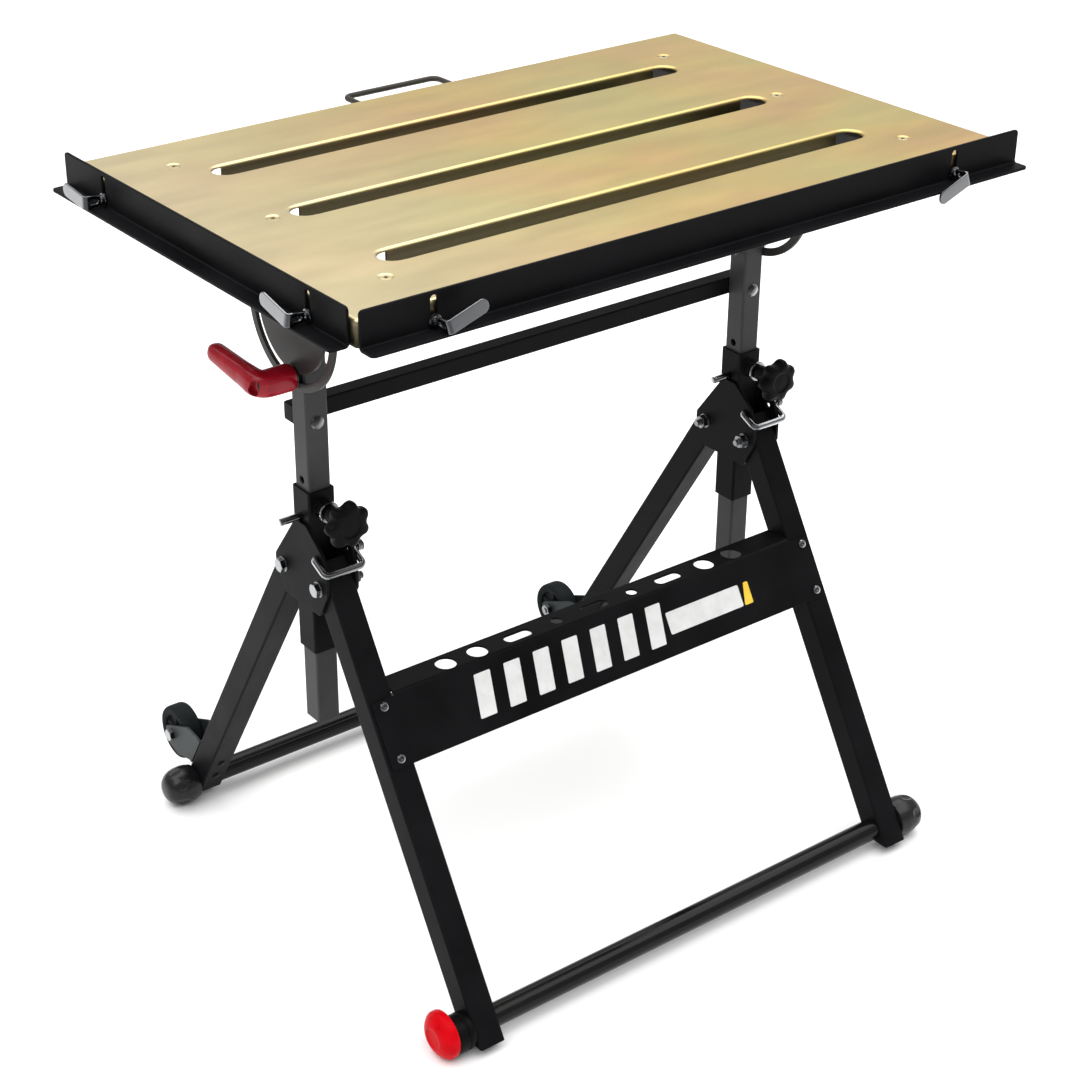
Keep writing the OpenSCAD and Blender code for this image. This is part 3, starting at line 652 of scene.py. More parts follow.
def make_lever(spot, turn):
    """A clamping lever: a threaded bolt, and a flat strap with an oval hole, folded into a paddle."""
    record = joint(f"lever_{spot}_turn")
    p, out = local(record["pos_m"]), Vector(record["axis"])
    right = Vector((0, 0, 1)).cross(out)
    bm = bmesh.new()
    head = [(3, -3.5), (3, 3.5), (6.2, 3.6), (6.4, 3.8), (6.4, 5.0), (6.1, 5.2), (4.8, 5.3), (4.8, 7.4),
            (4.2, 8.2), (0, 8.4)]
    lathe(bm, [(0, -10.5), (2.4, -10.5)] + thread(3, -10, -3.5, 1.0, 0.35) + head, place(p, out, right), 40)
    a = math.radians(turn)
    reach = right * math.cos(a) + Vector((0, 0, math.sin(a)))
    across = Vector((0, 0, math.cos(a))) - right * math.sin(a)
    # The strap stands out far enough for its paddle to swing clear of the rail's foot.
    t, bend, stem, paddle = 2.2, 3.2, 20.9, 38.4
    half_w, neck = 6.7, 4.6
    total = stem + bend * math.pi / 2 + paddle
    outline = rounded([(-neck, 6), (neck, 6), (half_w, 19), (half_w, total), (-half_w, total), (-half_w, 19)],
                      [1.5, 1.5, 12, 6.2, 6.2, 12], 10)
    oval = [(0.9 * q[1], q[0] + 15) for q in oblong(10.5, 2.8)]
    plate(bm, outline, [oval], t, place(p, reach, across), 0.6, **fold(stem, bend, 90))
    piece(bm, f"clamp_lever_{spot}", LEVER, record["child"], [f"fence_lever_{spot}"], sharp=50)


def make_fence_nuts():
    bm = bmesh.new()
    for spot in LEVER_TURNS:
        record = joint(f"lever_{spot}_turn")
        out = Vector(record["axis"])
        m = place(local(record["pos_m"]) - out * 3, -out)
        hexa(bm, 10, 5, m, both=True, bore=3.05)
        lathe(bm, [(3.1, 0), (6.4, 0), (6.4, 0.9), (3.1, 0.9), (3.1, 0)], m, 32)
    piece(bm, "skirt_nuts", ZINC, "table", ["fence_nuts"])


# ---- Tilt brackets and posts ----


def make_bracket(s, side):
    """A sheet with a half disc and its arc slot, its upper edge folded into a flange under the top."""
    z_pivot = pivot("table_tilt").z
    t, inner, mid_t = 4.0, 3.0, 5.0
    x_in = 12.9
    top = -3.0
    start = top - t - inner
    flange0 = start + mid_t * math.pi / 2
    reach = 40.0 - t - inner
    disc_r, slot_out, slot_in, slot_end = 74, 65.5, 56.5, 4.5
    slot_mid = (slot_out + slot_in) / 2
    disc = arc(0, z_pivot, disc_r, 180, 360, 60)
    web = top - 24.0
    half = [(disc_r, z_pivot), (92, web), (178, web), (184, flange0), (200, flange0 + 3),
            (200, flange0 + reach)]
    radii = [0, 12, 8, 0, 4, 6]
    outline = disc + rounded(half + [(-x, z) for x, z in half[::-1]], radii + radii[::-1], 6)[1:-1]
    slot = arc(0, z_pivot, slot_out, 180, 360, 60) + arc(slot_mid, z_pivot, slot_end, 0, 180, 8)[1:-1]
    slot += arc(0, z_pivot, slot_in, 360, 180, 60) + arc(-slot_mid, z_pivot, slot_end, 0, 180, 8)[1:-1]
    holes = [slot, circle(5.1, 0, z_pivot, 32)]
    screw_row = flange0 + SCREW_X - POST_X - x_in - t - inner
    holes += [circle(2.7, k * SCREW_Y, screw_row, 24) for k in (-1, 0, 1)]
    m = place((s * (POST_X + x_in + t / 2), 0, 0), (s, 0, 0), (0, s, 0))
    bm = bmesh.new()
    plate(bm, outline, holes, t, m, 0.6, **fold(start, mid_t, 90))
    piece(bm, f"quadrant_{side}", DARK_GREY, "table", [f"tilt_bracket_{side}"])


def bolt(bm, p, axis, r, grip, head=0.0, head_h=0.0, under=0.0, tail=0.0, nut=0.0, nut_h=0.0, nut_under=0.0,
         lock=False, turn=15.0):
    """A bolt with its head at p facing along axis, its shank running back for grip, then nut and thread.
    under and nut_under are the radii of washers."""
    axis = Vector(axis)
    p = Vector(p)
    thick = 1.5
    if under:
        washer(bm, p, axis, r, under)
    if head:
        hexa(bm, head, head_h, place(p + axis * (thick if under else 0), axis), turn=turn)
    end = grip + tail + 0.6
    shank = [(0, -0.5), (r, -0.5)] + thread(r, grip, grip + tail, 1.25, 0.45) + [(r - 1, end), (0, end)]
    lathe(bm, shank, place(p, -axis), 32)
    if nut:
        q = p - axis * grip
        if nut_under:
            washer(bm, q, -axis, r, nut_under)
            q = q - axis * thick
        hexa(bm, nut, nut_h, place(q, -axis), both=True, turn=turn + 9)
        if lock:
            collar = [(0, nut_h - 0.2), (nut * 0.44, nut_h - 0.2), (nut * 0.42, nut_h + 1.2),
                      (nut * 0.38, nut_h + 1.7), (0, nut_h + 1.7)]
            lathe(bm, collar, place(q, -axis), 32)


def make_post_parts():
    """The crossbar's bolts, nuts and end caps, and the bolts of the tilt pivots and locks."""
    lo, hi = node_box("crossbar")
    z_cross = (lo.z + hi.z) / 2
    lo, hi = node_box("crossbar_caps")
    dome = [(3, 0), (7.0, 0), (7.1, 0.4), (6.4, 1.5), (4.9, 2.5), (2.7, 3.1), (0, 3.3)]
    bolts, nuts, caps = bmesh.new(), bmesh.new(), bmesh.new()
    for s in (-1, 1):
        p = Vector((s * POST_X, -12.5, z_cross))
        lathe(bolts, dome, place(p, (0, -1, 0)), 40)
        bolt(bolts, p, (0, -1, 0), 3, 43.8, tail=8)
        hexa(nuts, 10, 6, place((p.x, 31.5, z_cross), (0, 1, 0)), both=True, bore=3.1)
        m = place((s * (hi.x - 1.25), (lo.y + hi.y) / 2, z_cross), (s, 0, 0))
        plate(caps, rrect(19, 19, 2.4), [], 2.5, m, 0.9)
    piece(bolts, "carriage_bolts", ZINC, "post_frame", ["crossbar_bolts"])
    piece(nuts, "carriage_nuts", ZINC, "post_frame", ["crossbar_nuts"])
    piece(caps, "crossbar_end_caps", PLASTIC, "post_frame", ["crossbar_caps"])
    z_pivot, z_lock = pivot("table_tilt").z, pivot("tilt_lever_turn").z
    bm = bmesh.new()
    for s in (-1, 1):
        bolt(bm, (s * (POST_X + 17.2), 0, z_pivot), (s, 0, 0), 5, 30, 16, 6.5, nut=16, nut_h=8, tail=8.5)
    piece(bm, "pivot_bolts", ZINC, "post_frame", ["tilt_pivot_bolts"])
    bm = bmesh.new()
    bolt(bm, (-POST_X + 12.8, 0, z_lock), (1, 0, 0), 4, 67, 13, 5)
    plain = [(4, 0), (11.6, 0), (12, 0.4), (12, 1.3), (11.6, 1.6), (4, 1.6)]
    lathe(bm, plain, place((-POST_X - 17.2, 0, z_lock), (-1, 0, 0)), 48)
    bolt(bm, (POST_X - 12.8, 0, z_lock), (-1, 0, 0), 4, 30.2, 13, 5, tail=5, nut=13, nut_h=5, nut_under=9,
         lock=True)
    piece(bm, "lock_bolts", ZINC, "post_frame", ["tilt_lock_bolts"])


def make_tilt_lever():
    """One moulding: a round hub along the bolt that sweeps into a grip pointing backwards."""
    p = pivot("tilt_lever_turn")
    m = place(p, (0, 0, 1), (1, 0, 0))
    # The hub runs from x0 to x1, where the grip bends off it and rises a little.
    x0, x1, bend = -19.3, -53.5, 13
    rise = math.tan(math.radians(9))
    path = bent([(x0, 0, 0), (-34, 0, 0), (x1, 0, 0), (x1 - 2.5, 30, 30 * rise), (x1 - 5.5, 78, 78 * rise)],
                bend, 10)
    total = [0.0]
    for a, b in zip(path, path[1:]):
        total.append(total[-1] + (Vector(b) - Vector(a)).length)
    steps, seg, square = 48, 40, 0.82
    dense, sections = [], []
    for i in range(steps + 1):
        u = i / steps
        s = total[-1] * u
        k = min(max(j for j in range(len(total)) if total[j] <= s + 1e-9), len(path) - 2)
        f = (s - total[k]) / (total[k + 1] - total[k])
        dense.append(Vector(path[k]).lerp(Vector(path[k + 1]), min(f, 1)))
        # It is tallest at the hub, thins along the grip, and is rounded off at both ends.
        tall = 13.0 - 3.6 * min(1, max(0, (u - 0.35) / 0.6))
        wide = 12.6 - 3.6 * min(1, max(0, (u - 0.2) / 0.3))
        end = 1.0 if u < 0.9 else math.sqrt(max(0.0, 1 - ((u - 0.9) / 0.1) ** 2)) * 0.98 + 0.02
        if u < 0.04:
            end = 0.93 + 0.07 * math.sqrt(1 - (1 - u / 0.04) ** 2)
        ring = []
        for k in range(seg):
            a = 2 * math.pi * k / seg
            c, sn = math.cos(a), math.sin(a)
            ring.append((tall * end * math.copysign(abs(c) ** square, c),
                         wide * end * math.copysign(abs(sn) ** square, sn)))
        sections.append(ring)
    bm = bmesh.new()
    tube(bm, dense, 1, m, section=sections, up=(0, 0, 1))
    ob = piece(bm, "tilt_grip", RED, "tilt_lever", ["tilt_lock_lever"], 60, False)
    # The moulded recess in the hub's outer end.
    cut = bmesh.new()
    mouth = place(p + Vector((x1 - 9, -3, -1)), (-1, -0.55, 0), (0.2, -0.4, 1))
    skin(cut, [[(*q, z) for q in oblong(17, 5.2)] for z in (-9, 8)], mouth)
    bmesh.ops.recalc_face_normals(cut, faces=cut.faces)
    cutter = linked("recess", mesh_of(cut, "recess"))
    mod = ob.modifiers.new("recess", "BOOLEAN")
    mod.object = cutter
    mod.operation = "DIFFERENCE"
    mod.solver = "EXACT"
    dg = bpy.context.evaluated_depsgraph_get()
    done = bpy.data.meshes.new_from_object(ob.evaluated_get(dg))
    ob.modifiers.clear()
    ob.data = done
    bpy.data.objects.remove(cutter)
    bm = bmesh.new()
    bm.from_mesh(done)
    crisp(bm, 50)
    bm.to_mesh(done)
    bm.free()


# ---- Stand heads ----


def make_gussets(s, side):
    """The two sheets each side of a post that the sleeve is welded to and the legs hinge on."""
    outline = rounded([(7, -312), (47, -366), (47, -376), (32, -404), (-32, -404), (-47, -376), (-47, -352),
                       (-40, -334), (-12, -312)], [3, 6, 4, 4, 4, 4, 5, 5, 5], 5)
    holes = [circle(4.1, k * HINGE_Y, HINGE_Z, 24) for k in (-1, 1)] + [circle(3.1, -31, -340, 24)]
    bm = bmesh.new()
    for i in (-1, 1):
        # The sheet's own axes: x along the row's Y, y upwards.
        m = place((s * POST_X + i * 16.75, 0, 0), (1, 0, 0), (0, 1, 0))
        plate(bm, outline, holes, 3.5, m, 0.5)
    piece(bm, f"gusset_pair_{side}", BLACK, "stand_heads", [f"gusset_plates_{side}"])


def weld(bm, points, m, r=1.6, seed=0):
    """A weld bead: a rippled half-sunk tube along an edge."""
    pts = [Vector(p) for p in points]
    dense, radii = [], []
    for a, b in zip(pts, pts[1:]):
        n = max(2, int((b - a).length / 0.9))
        for i in range(n):
            dense.append(a.lerp(b, i / n))
    dense.append(pts[-1])
    for i in range(len(dense)):
        end = min(1.0, 0.35 + 0.3 * min(i, len(dense) - 1 - i))
        radii.append(r * end * (0.86 + 0.14 * math.sin(i * 1.9 + seed)))
    tube(bm, dense, radii, m, 10)


def make_head_parts():
    """The leg bolts, their nuts and washers, and the welds of the heads."""
    heads, nuts = bmesh.new(), bmesh.new()
    reach, bolt_af, thick = 18.5, 13, 1.5
    for s in (-1, 1):
        out = Vector((s, 0, 0))
        for j in (-1, 1):
            p = Vector((s * (POST_X + reach), j * HINGE_Y, HINGE_Z))
            bolt(heads, p, out, 4, 2 * reach, bolt_af, 5.3, under=8, tail=13, turn=15 + 20 * j + 7 * s)
            q = p - out * 2 * reach
            washer(nuts, q, -out, 4.1, 8, closed=True)
            hexa(nuts, bolt_af, 6.5, place(q - out * thick, -out), both=True, bore=4.1, turn=11 * j)
    piece(heads, "leg_bolt_heads", ZINC, "stand_heads", ["leg_bolts"])
    piece(nuts, "leg_bolt_nuts", ZINC, "stand_heads", ["leg_nuts"])
    bm = bmesh.new()
    sleeve_face, low = 15.3, -402
    for s in (-1, 1):
        for i in (-1, 1):
            x = s * POST_X + i * 14.9
            for y, top in ((-sleeve_face, -316), (sleeve_face, -322)):
                weld(bm, [(x, y, top), (x, y, low)], place(), 1.5, s + i)
        nut = [(s * POST_X + x, -sleeve_face, z) for x, z in arc(0, -297, 9.4, 0, 360, 60)]
        weld(bm, nut, place(), 1.2, s)
    piece(bm, "weld_beads", BLACK, "stand_heads", sharp=70)


def make_knob(side):
    """A clamping knob of seven lobes on its threaded stud."""
    p = pivot(f"clamp_knob_{side}_turn")
    lobes, swell, full_r = 7, 2.0, 22
    # (height, round radius, how much of the star)
    rows = [(-22, 7.4, 0), (-21.2, 8.0, 0), (-15, 8.8, 0), (-8, 9.9, 0), (-3.2, 11.4, 0.05), (-1, 14, 0.25),
            (0.4, 17.8, 0.6), (1.8, 20.6, 0.9), (3.8, 21.9, 1), (7, 22.3, 1), (10.4, 22, 1), (12.8, 20.6, 0.95),
            (14.3, 18, 0.8), (14.9, 15, 0.45), (15, 12.4, 0.15), (14.9, 11.4, 0), (14, 10.8, 0), (13.7, 9.6, 0),
            (14.1, 5, 0), (14.2, 0.8, 0)]

    def lobed(a, z, r, star):
        wave = -math.cos(lobes * a)
        return r + star * swell * math.copysign(abs(wave) ** 0.8, wave) * (r / full_r), z

    bm = bmesh.new()
    turned(bm, rows, 140, place((p.x, -51, p.z), (0, -1, 0)), lobed)
    body = f"clamp_knob_{side}"
    piece(bm, f"star_knob_{side}", PLASTIC, body, [f"knob_{side}"], sharp=60)
    bm = bmesh.new()
    collar = [(4.4, 13.2), (10.4, 13.3), (11, 13.9), (11, 15.2), (10.4, 15.8), (7, 16), (7, 17), (0, 17)]
    stud = [(0, 0), (3.4, 0)] + thread(4, 0.6, 13, 1.25, 0.45) + collar
    lathe(bm, stud, place((p.x, -12.9, p.z), (0, -1, 0)), 48)
    piece(bm, f"knob_thread_{side}", CHROME, body, [f"knob_stud_{side}"])


def make_pin(side):
    """A plain pin with one groove near its end."""
    lo, hi = node_box(f"height_pin_{side}")
    r = (hi.z - lo.z) / 2
    p = (lo.x, (lo.y + hi.y) / 2, (lo.z + hi.z) / 2)
    length = hi.x - lo.x
    bm = bmesh.new()
    groove = [(r, 3.4), (r - 0.5, 3.8), (r - 0.5, 4.4), (r, 4.8)]
    profile = [(0, 0), (r - 1.3, 0), (r - 0.5, 0.4), (r, 1.2)] + groove
    profile += [(r, length - 0.7), (r - 0.7, length), (0, length)]
    lathe(bm, profile, place(p, (1, 0, 0)), 40)
    piece(bm, f"plain_pin_{side}", CHROME, f"pin_{side}", [f"height_pin_{side}"])


def make_bail(side):
    """A lock made of one bent rod, and the spring that holds it down."""
    p = pivot(f"bail_{side}_lift")
    x = 22.1
    bar = Vector((0, -21, -10))
    path = [(-15.3, 0, 0), (-x, 0, 0), (-x, bar.y, bar.z), (x, bar.y, bar.z), (x, 0, 0), (x + 12, 0, 0)]
    bm = bmesh.new()
    tube(bm, bent(path, 5.5, 8), 3.5, place(p), 18)
    piece(bm, f"lock_rod_{side}", CHROME, f"lock_bail_{side}", [f"bail_{side}"])
    bm = bmesh.new()
    turns, per, coil_r, coil_l = 4, 20, 5.0, 6.6
    x0 = x + 4.4
    coil = []
    for i in range(turns * per + 1):
        a = 2 * math.pi * i / per
        coil.append((x0 + coil_l * i / (turns * per), coil_r * math.cos(a), coil_r * math.sin(a)))
    tail = [(x0 - 5.5, 9.5, -3.0), (x0 - 1.5, 8.0, -2.6)]
    tube(bm, tail + coil, 0.85, place(p), 8, up=(0, 0, 1))
    piece(bm, f"spring_wire_{side}", CHROME, "stand_heads", [f"bail_spring_{side}"])


# ---- Legs ----

def face_y(z, off):
    """Where a plane off in front of the front legs' middle line is at height z."""
    return -HINGE_Y - (HINGE_Z - z) * math.tan(SLOPE) - off / math.cos(SLOPE)


def make_tray():
    """A folded sheet across the front legs, with a shelf of holes for tools, and its plain trim."""
    t, inner = 2.5, 2.0
    mid_r = inner + t / 2
    top, low = -466.0, -527.5
    off = LEG_W / 2 + t / 2
    # Flat pattern: y = 0 at the lower edge of the face, z towards the stand.
    turn = 90 - math.degrees(SLOPE)
    face_l = (top - low) / math.cos(SLOPE)
    cut_back = (inner + t) * math.tan(math.radians(turn / 2))
    y0 = face_l - cut_back
    arc_l = mid_r * math.radians(turn)
    shelf = 30.0 - cut_back
    w, w2 = 289.0, 262.0
    total = y0 + arc_l + shelf
    half = [(w, 0), (w, y0 - 1), (w2, y0), (w2, total)]
    outline = rounded([(-w, 0)] + half + [(-x, y) for x, y in half[:0:-1]], [3, 3, 2, 0, 3, 3, 0, 2], 5)
    row = total - 16.0
    holes = [circle(11, k * x, row, 40) for k in (-1, 1) for x in (151, 190)]
    holes += [circle(6, k * 50, row, 32) for k in (-1, 1)]
    holes += [oblong(33, 6.5, k * 100, row) for k in (-1, 0, 1)]
    screw_at = [(s * POST_X, (z - low) / math.cos(SLOPE)) for s in (-1, 1) for z in (-474.5, -520.0)]
    holes += [circle(2.6, *c, 20) for c in screw_at]
    up = Vector((0, math.sin(SLOPE), math.cos(SLOPE)))
    back = Vector((0, math.cos(SLOPE), -math.sin(SLOPE)))
    base = Vector((0, face_y(low, off), low))
    m = place(base, -back, (1, 0, 0))
    # The bend turns the shelf towards the stand, which is the sheet's -z.
    bend = fold(y0, mid_r, turn)
    warp = bend["warp"]

    def inward(p):
        q = Vector(warp(Vector((p.x, p.y, -p.z))))
        return (q.x, q.y, -q.z)

    bm = bmesh.new()
    plate(bm, outline, holes, t, m, 0.5, cuts=bend["cuts"], warp=inward)
    piece(bm, "tray_sheet", BLACK, "front_leg_frame", ["tool_tray"])

    bm = bmesh.new()
    for x, y in screw_at:
        q = base + up * y - back * (t / 2)
        head = ((2.5, -7), (2.5, 0), (4.8, 0), (4.9, 0.5), (4.6, 1.6), (3.9, 2.4), (2.7, 2.8))
        socket_head(bm, place(q + Vector((x, 0, 0)), -back, (1, 0, 0)), head, 3.2, 2.8, 1.0)
    piece(bm, "tray_screw_heads", CHROME, "front_leg_frame", ["tray_screws"])

    # Plain printed trim on the face: slanting bars, and a blank label with a coloured end.
    def trim(name, mat, shapes):
        bm = bmesh.new()
        for shape in shapes:
            mm = place(base - back * (t / 2 + 0.12), -back, (1, 0, 0))
            plate(bm, shape, [], 0.24, mm, 0.05)
        piece(bm, name, mat, "front_leg_frame")

    def bar(x0, x1, y_lo, y_hi, lean=9.0):
        return rounded([(x0, y_lo), (x1, y_lo), (x1 + lean, y_hi), (x0 + lean, y_hi)], 1.2, 4)

    trim("tray_bars", WHITE_VINYL, [bar(-178 + 37 * i, -158 + 37 * i, 15, 59, 7.0) for i in range(7)])
    trim("tray_label", WHITE_VINYL, [rounded([(74, 22), (176, 22), (176, 46), (74, 46)], 2, 4)])
    trim("tray_label_end", YELLOW_VINYL, [rounded([(178, 22), (190, 22), (190, 46), (184, 46)], 1.5, 4)])


def foot_shape(bm, m, length, radius):
    """A bulbous rubber cap with a ring of oval dimples."""
    # Fractions of its length and radius.
    prof = [(0.00, 0.80), (0.01, 0.87), (0.04, 0.90), (0.10, 0.925), (0.2, 0.975), (0.3, 1.0), (0.42, 1.0),
            (0.54, 0.985), (0.66, 0.94), (0.77, 0.86), (0.86, 0.74), (0.93, 0.60), (0.97, 0.46), (0.99, 0.30),
            (1.0, 0.06)]
    rows = [(a[0] + (b[0] - a[0]) * (k / 5), a[1] + (b[1] - a[1]) * (k / 5))
            for a, b in zip(prof, prof[1:]) for k in range(5)] + prof[-1:]
    # Smooth the profile.
    for _ in range(3):
        soft = [(q[0], (p[1] + 2 * q[1] + r[1]) / 4) for p, q, r in zip(rows, rows[1:], rows[2:])]
        rows = [rows[0]] + soft + [rows[-1]]
    spacing, middle, depth = math.pi / 3, 0.62, 1.5

    def dimpled(a, u, rr):
        d = math.hypot((a - round(a / spacing) * spacing) / 0.26, (u - middle) / 0.20)
        return radius * rr - depth * max(0.0, 1 - d ** 3), u * length

    turned(bm, rows, 120, m, dimpled)


def round_part(node, s):
    """The inner end, length and radius of a round part whose axis runs along s times x."""
    lo, hi = node_box(node)
    start = Vector((lo.x if s > 0 else hi.x, (lo.y + hi.y) / 2, (lo.z + hi.z) / 2))
    return start, hi.x - lo.x, (hi.z - lo.z) / 2


def make_feet():
    for node, frame_name, name, s in (("foot_front_right", "front_leg_frame", "rubber_foot_front", 1),
                                      ("foot_rear_left", "rear_leg_frame", "rubber_foot_rear_left", -1),
                                      ("foot_rear_right", "rear_leg_frame", "rubber_foot_rear_right", 1)):
        start, length, r = round_part(node, s)
        bm = bmesh.new()
        foot_shape(bm, place(start, (s, 0, 0), (0, 0, 1)), length, r)
        piece(bm, name, RUBBER, frame_name, [node], 60, False)
    start, length, r = round_part("foot_collar", -1)
    bar_r = 12.1
    bm = bmesh.new()
    groove = [(r, 6), (r - 1.2, 7.2), (r - 1.2, 8.4), (r, 9.6)]
    collar = [(bar_r, 0), (r - 2, 0), (r - 0.8, 0.5), (r, 2)] + groove
    collar += [(r, length - 2), (r - 0.8, length - 0.5), (r - 2, length), (bar_r, length), (bar_r, 0)]
    lathe(bm, collar, place(start, (-1, 0, 0)), 72)
    piece(bm, "bar_collar", PLASTIC, "front_leg_frame", ["foot_collar"])
    start, length, r = round_part("levelling_foot", -1)
    # (distance out, fraction of its radius, how deep its flutes are)
    rows = [(0, 0.80, 0), (0.2, 0.93, 0), (1.2, 0.985, 0.2), (2.5, 1, 1), (7, 1, 1), (8.6, 0.975, 1),
            (12.4, 0.84, 1), (14.4, 0.74, 0.7), (16, 0.62, 0.3), (16.9, 0.50, 0), (17, 0.44, 0), (16.4, 0.40, 0),
            (16, 0.34, 0), (16, 0.02, 0)]
    flutes, depth = 12, 0.35

    def fluted(a, w, rr, flute):
        return r * rr - depth * flute * max(0.0, math.cos(flutes * a)) ** 6, w

    bm = bmesh.new()
    turned(bm, rows, 96, place(start, (-1, 0, 0), (0, 0, 1)), fluted)
    piece(bm, "levelling_cap_shell", RED_CAP, "levelling_cap", ["levelling_foot"], sharp=40)


def make_casters():
    """A rigid bracket on each rear leg's back, two ears and a wheel. The right one sits lower."""
    c, sn = math.cos(SLOPE), math.sin(SLOPE)
    back_v, up_v = Vector((0, c, sn)), Vector((0, -sn, c))
    back = LEG_W / 2
    bolts, plugs = bmesh.new(), bmesh.new()
    for s, side, foot, top in ((-1, "left", -437, -390), (1, "right", -455, -416)):
        centre = pivot(f"wheel_{side}_spin")
        centre.x = s * POST_X
        arm = centre - Vector((s * POST_X, HINGE_Y, HINGE_Z))
        # The axle in the leg's own frame: y away from its middle line, z along it.
        y, z = arm.dot(back_v), arm.dot(up_v)
        hinge = centre - arm
        bm = bmesh.new()
        m = place(hinge + back_v * (back + 1.25) + up_v * ((foot + top) / 2), back_v, (1, 0, 0))
        spread = 0.3 * (top - foot)
        screws = [circle(2.2, 0, k * spread, 20) for k in (-1, 1)]
        plate(bm, rrect(29.2, top - foot, 2), screws, 2.5, m, 0.5)
        ear = rounded([(back, top), (back + 7, top - 0.7), (y - 18.6, z + 45.4), (y + 17, z - 6),
                       (y - 1, z - 17), (y - 21.8, z - 11.8), (back + 4, foot), (back, foot)],
                      [2, 5, 9, 12, 12, 9, 3, 1], 8)
        for i in (-1, 1):
            # The ear's own axes: x away from the leg, y up along it.
            plate(bm, ear, [circle(4.1, y, z, 24)], 2.5,
                  place(hinge + Vector((i * 13.45, 0, 0)), back_v.cross(up_v), back_v), 0.5)
        piece(bm, f"caster_bracket_{side}", TEAL, "rear_leg_frame", [f"caster_fork_{side}"])
        for k in (-1, 1):
            q = hinge + back_v * (back + 2.5) + up_v * ((foot + top) / 2 + k * spread)
            screw = [(0, -2), (2.1, -2), (2.1, 0), (4.2, 0), (4.3, 0.5), (3.7, 1.8), (2.4, 2.5), (0, 2.7)]
            lathe(bolts, screw, place(q, back_v), 32)
            # A plug on the leg's front face opposite each screw.
            plug = [(0, -1), (3.2, -1), (3.2, 0), (4.4, 0), (4.5, 0.5), (3.6, 1.3), (1.6, 1.6), (0, 1.6)]
            lathe(plugs, plug, place(q - back_v * (2 * back + 2.5), -back_v), 32)
        bm = bmesh.new()
        mx = place(centre, (1, 0, 0), (0, 0, 1))
        half = [(23, -10), (24.5, -10.8), (28.6, -11), (30.4, -10.3), (31.6, -8.2), (31.95, -5)]
        lathe(bm, half + [(r, -w) for r, w in half[::-1]] + half[:1], mx, 96)
        piece(bm, f"wheel_tread_{side}", TYRE, f"wheel_{side}", [f"caster_tyre_{side}"])
        bm = bmesh.new()
        # A dished hub with five spoke ribs.
        ribs, rib_w, rib_h = 5, 2.6, 3.2
        half = [(4.1, 11.6), (9, 11.6), (9.8, 11), (10.2, 7), (11.5, 5.2), (20, 5), (21.6, 6.4), (22.2, 9.6),
                (22.95, 9.8)]

        def spoked(a, r, w):
            d = abs((a * ribs / (2 * math.pi) + 0.5) % 1 - 0.5) * 2 * math.pi / ribs * r
            lift = rib_h * max(0.0, min(1.0, (rib_w - d) / 0.9)) if 10.5 < r < 21 else 0.0
            return r, w + math.copysign(lift, w)

        rows = half + [(r, -w) for r, w in half[::-1]]
        turned(bm, rows, 100, mx, spoked, cap=(False, False), wrap=True)
        piece(bm, f"wheel_core_{side}", HUB, f"wheel_{side}", [f"caster_hub_{side}"], sharp=50)
        bolt(bolts, centre + Vector((s * 14.7, 0, 0)), (s, 0, 0), 4, 29.4, 13, 5.3, nut=13, nut_h=6, tail=7)
    piece(bolts, "caster_bolts", ZINC, "rear_leg_frame", ["caster_axles"])
    piece(plugs, "leg_plugs", PLASTIC, "rear_leg_frame")


make_top()
make_handle()
make_rail("fence_front", (1, 0, 0), (0, -1, 0), (-307, 307), "rail_front", "guide_rail_front")
make_rail("fence_left", (0, 1, 0), (-1, 0, 0), (-178, 178), "rail_left", "guide_rail_left")
for spot, turn in LEVER_TURNS.items():
    make_lever(spot, turn)
make_fence_nuts()
for s, side in SIDES:
    make_bracket(s, side)
make_post_parts()
make_tilt_lever()
for s, side in SIDES:
    make_gussets(s, side)
make_head_parts()
for s, side in SIDES:
    make_knob(side)
    make_pin(side)
    make_bail(side)
make_tray()
make_feet()
make_casters()

# ---- CAD nodes that stay as they are ----

KEPT = {BLACK: ("crossbar", "sleeve_left", "sleeve_right", "front_leg_left", "front_leg_right",
                "rear_leg_left", "rear_leg_right"),
        GREY: ("post_left", "post_right"),
        BLACK_GLOSS: ("front_bar", "rear_bar")}
for mat, names in KEPT.items():
    for n in names:
        for spot in frame["nodes"][n].material_slots:
            spot.material = mat

# ---- Floor, light and camera ----

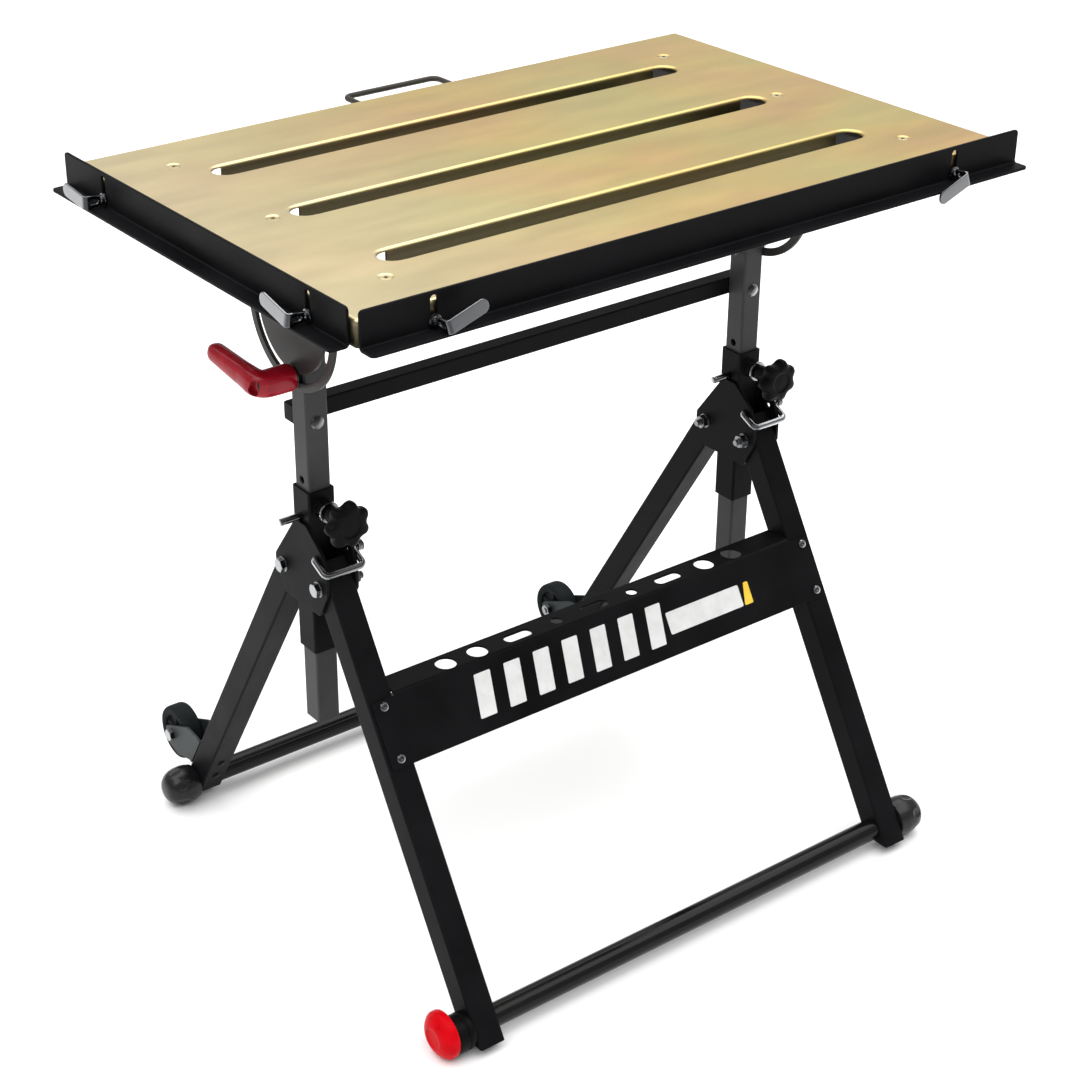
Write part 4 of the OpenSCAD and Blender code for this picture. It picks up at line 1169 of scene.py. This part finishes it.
floor_mat = Paint("floor")
floor_mat.colour(floor_mat.ramp(floor_mat.noise(2, 2), [(0.3, 0.90), (0.7, 0.93)]))
floor_mat.rough(floor_mat.noise(6, 2), 0.6, 0.7)
bm = bmesh.new()
bmesh.ops.create_grid(bm, x_segments=2, y_segments=2, size=14)
floor = linked("floor", mesh_of(bm, "floor"))
floor.location.z = -0.0005
floor.data.materials.append(floor_mat.mat)

scene = bpy.context.scene
scene.world = world = bpy.data.worlds.new("studio")
world.use_nodes = True
glow = world.node_tree.nodes["Background"].inputs
glow["Color"].default_value = (1, 1, 1, 1)
glow["Strength"].default_value = 0.62


def softbox(name, at, target, size, power):
    data = bpy.data.lights.new(name, "AREA")
    data.shape = "RECTANGLE"
    data.size, data.size_y = size
    data.energy = power
    ob = linked(name, data)
    ob.location = at
    ob.rotation_euler = (Vector(target) - Vector(at)).to_track_quat("-Z", "Y").to_euler()


softbox("overhead", (0, 0, 5), (0, 0, 0), (9, 9), 620)
softbox("key", (-2.2, -0.6, 2.0), (0, 0, 0.5), (1.4, 1.2), 9)

# The camera's bearing round the object, its height above level and its roll.
AZ, EL, ROLL = (math.radians(a) for a in (-36.006, 28.107, -0.367))
CAMERA_AT = Vector((MID_X - 1.2717, MID_Y - 1.6245, SURFACE + 0.6826))
forward = Vector((-math.sin(AZ) * math.cos(EL), math.cos(AZ) * math.cos(EL), -math.sin(EL)))
right = Vector((math.cos(AZ), math.sin(AZ), 0))
upward = right.cross(forward)
cam_x = right * math.cos(ROLL) + upward * math.sin(ROLL)
cam_y = upward * math.cos(ROLL) - right * math.sin(ROLL)
cam = bpy.data.cameras.new("camera")
cam.sensor_width = 36
cam.lens = 73.56
cam.shift_x, cam.shift_y = 0.0649, -0.0069
cam.clip_start, cam.clip_end = 0.05, 50
cam_ob = linked("camera", cam)
cam_m = Matrix((cam_x, cam_y, -forward)).transposed().to_4x4()
cam_m.translation = CAMERA_AT
cam_ob.matrix_world = cam_m
scene.camera = cam_ob
scene.view_settings.view_transform = "Standard"
scene.view_settings.look = "None"
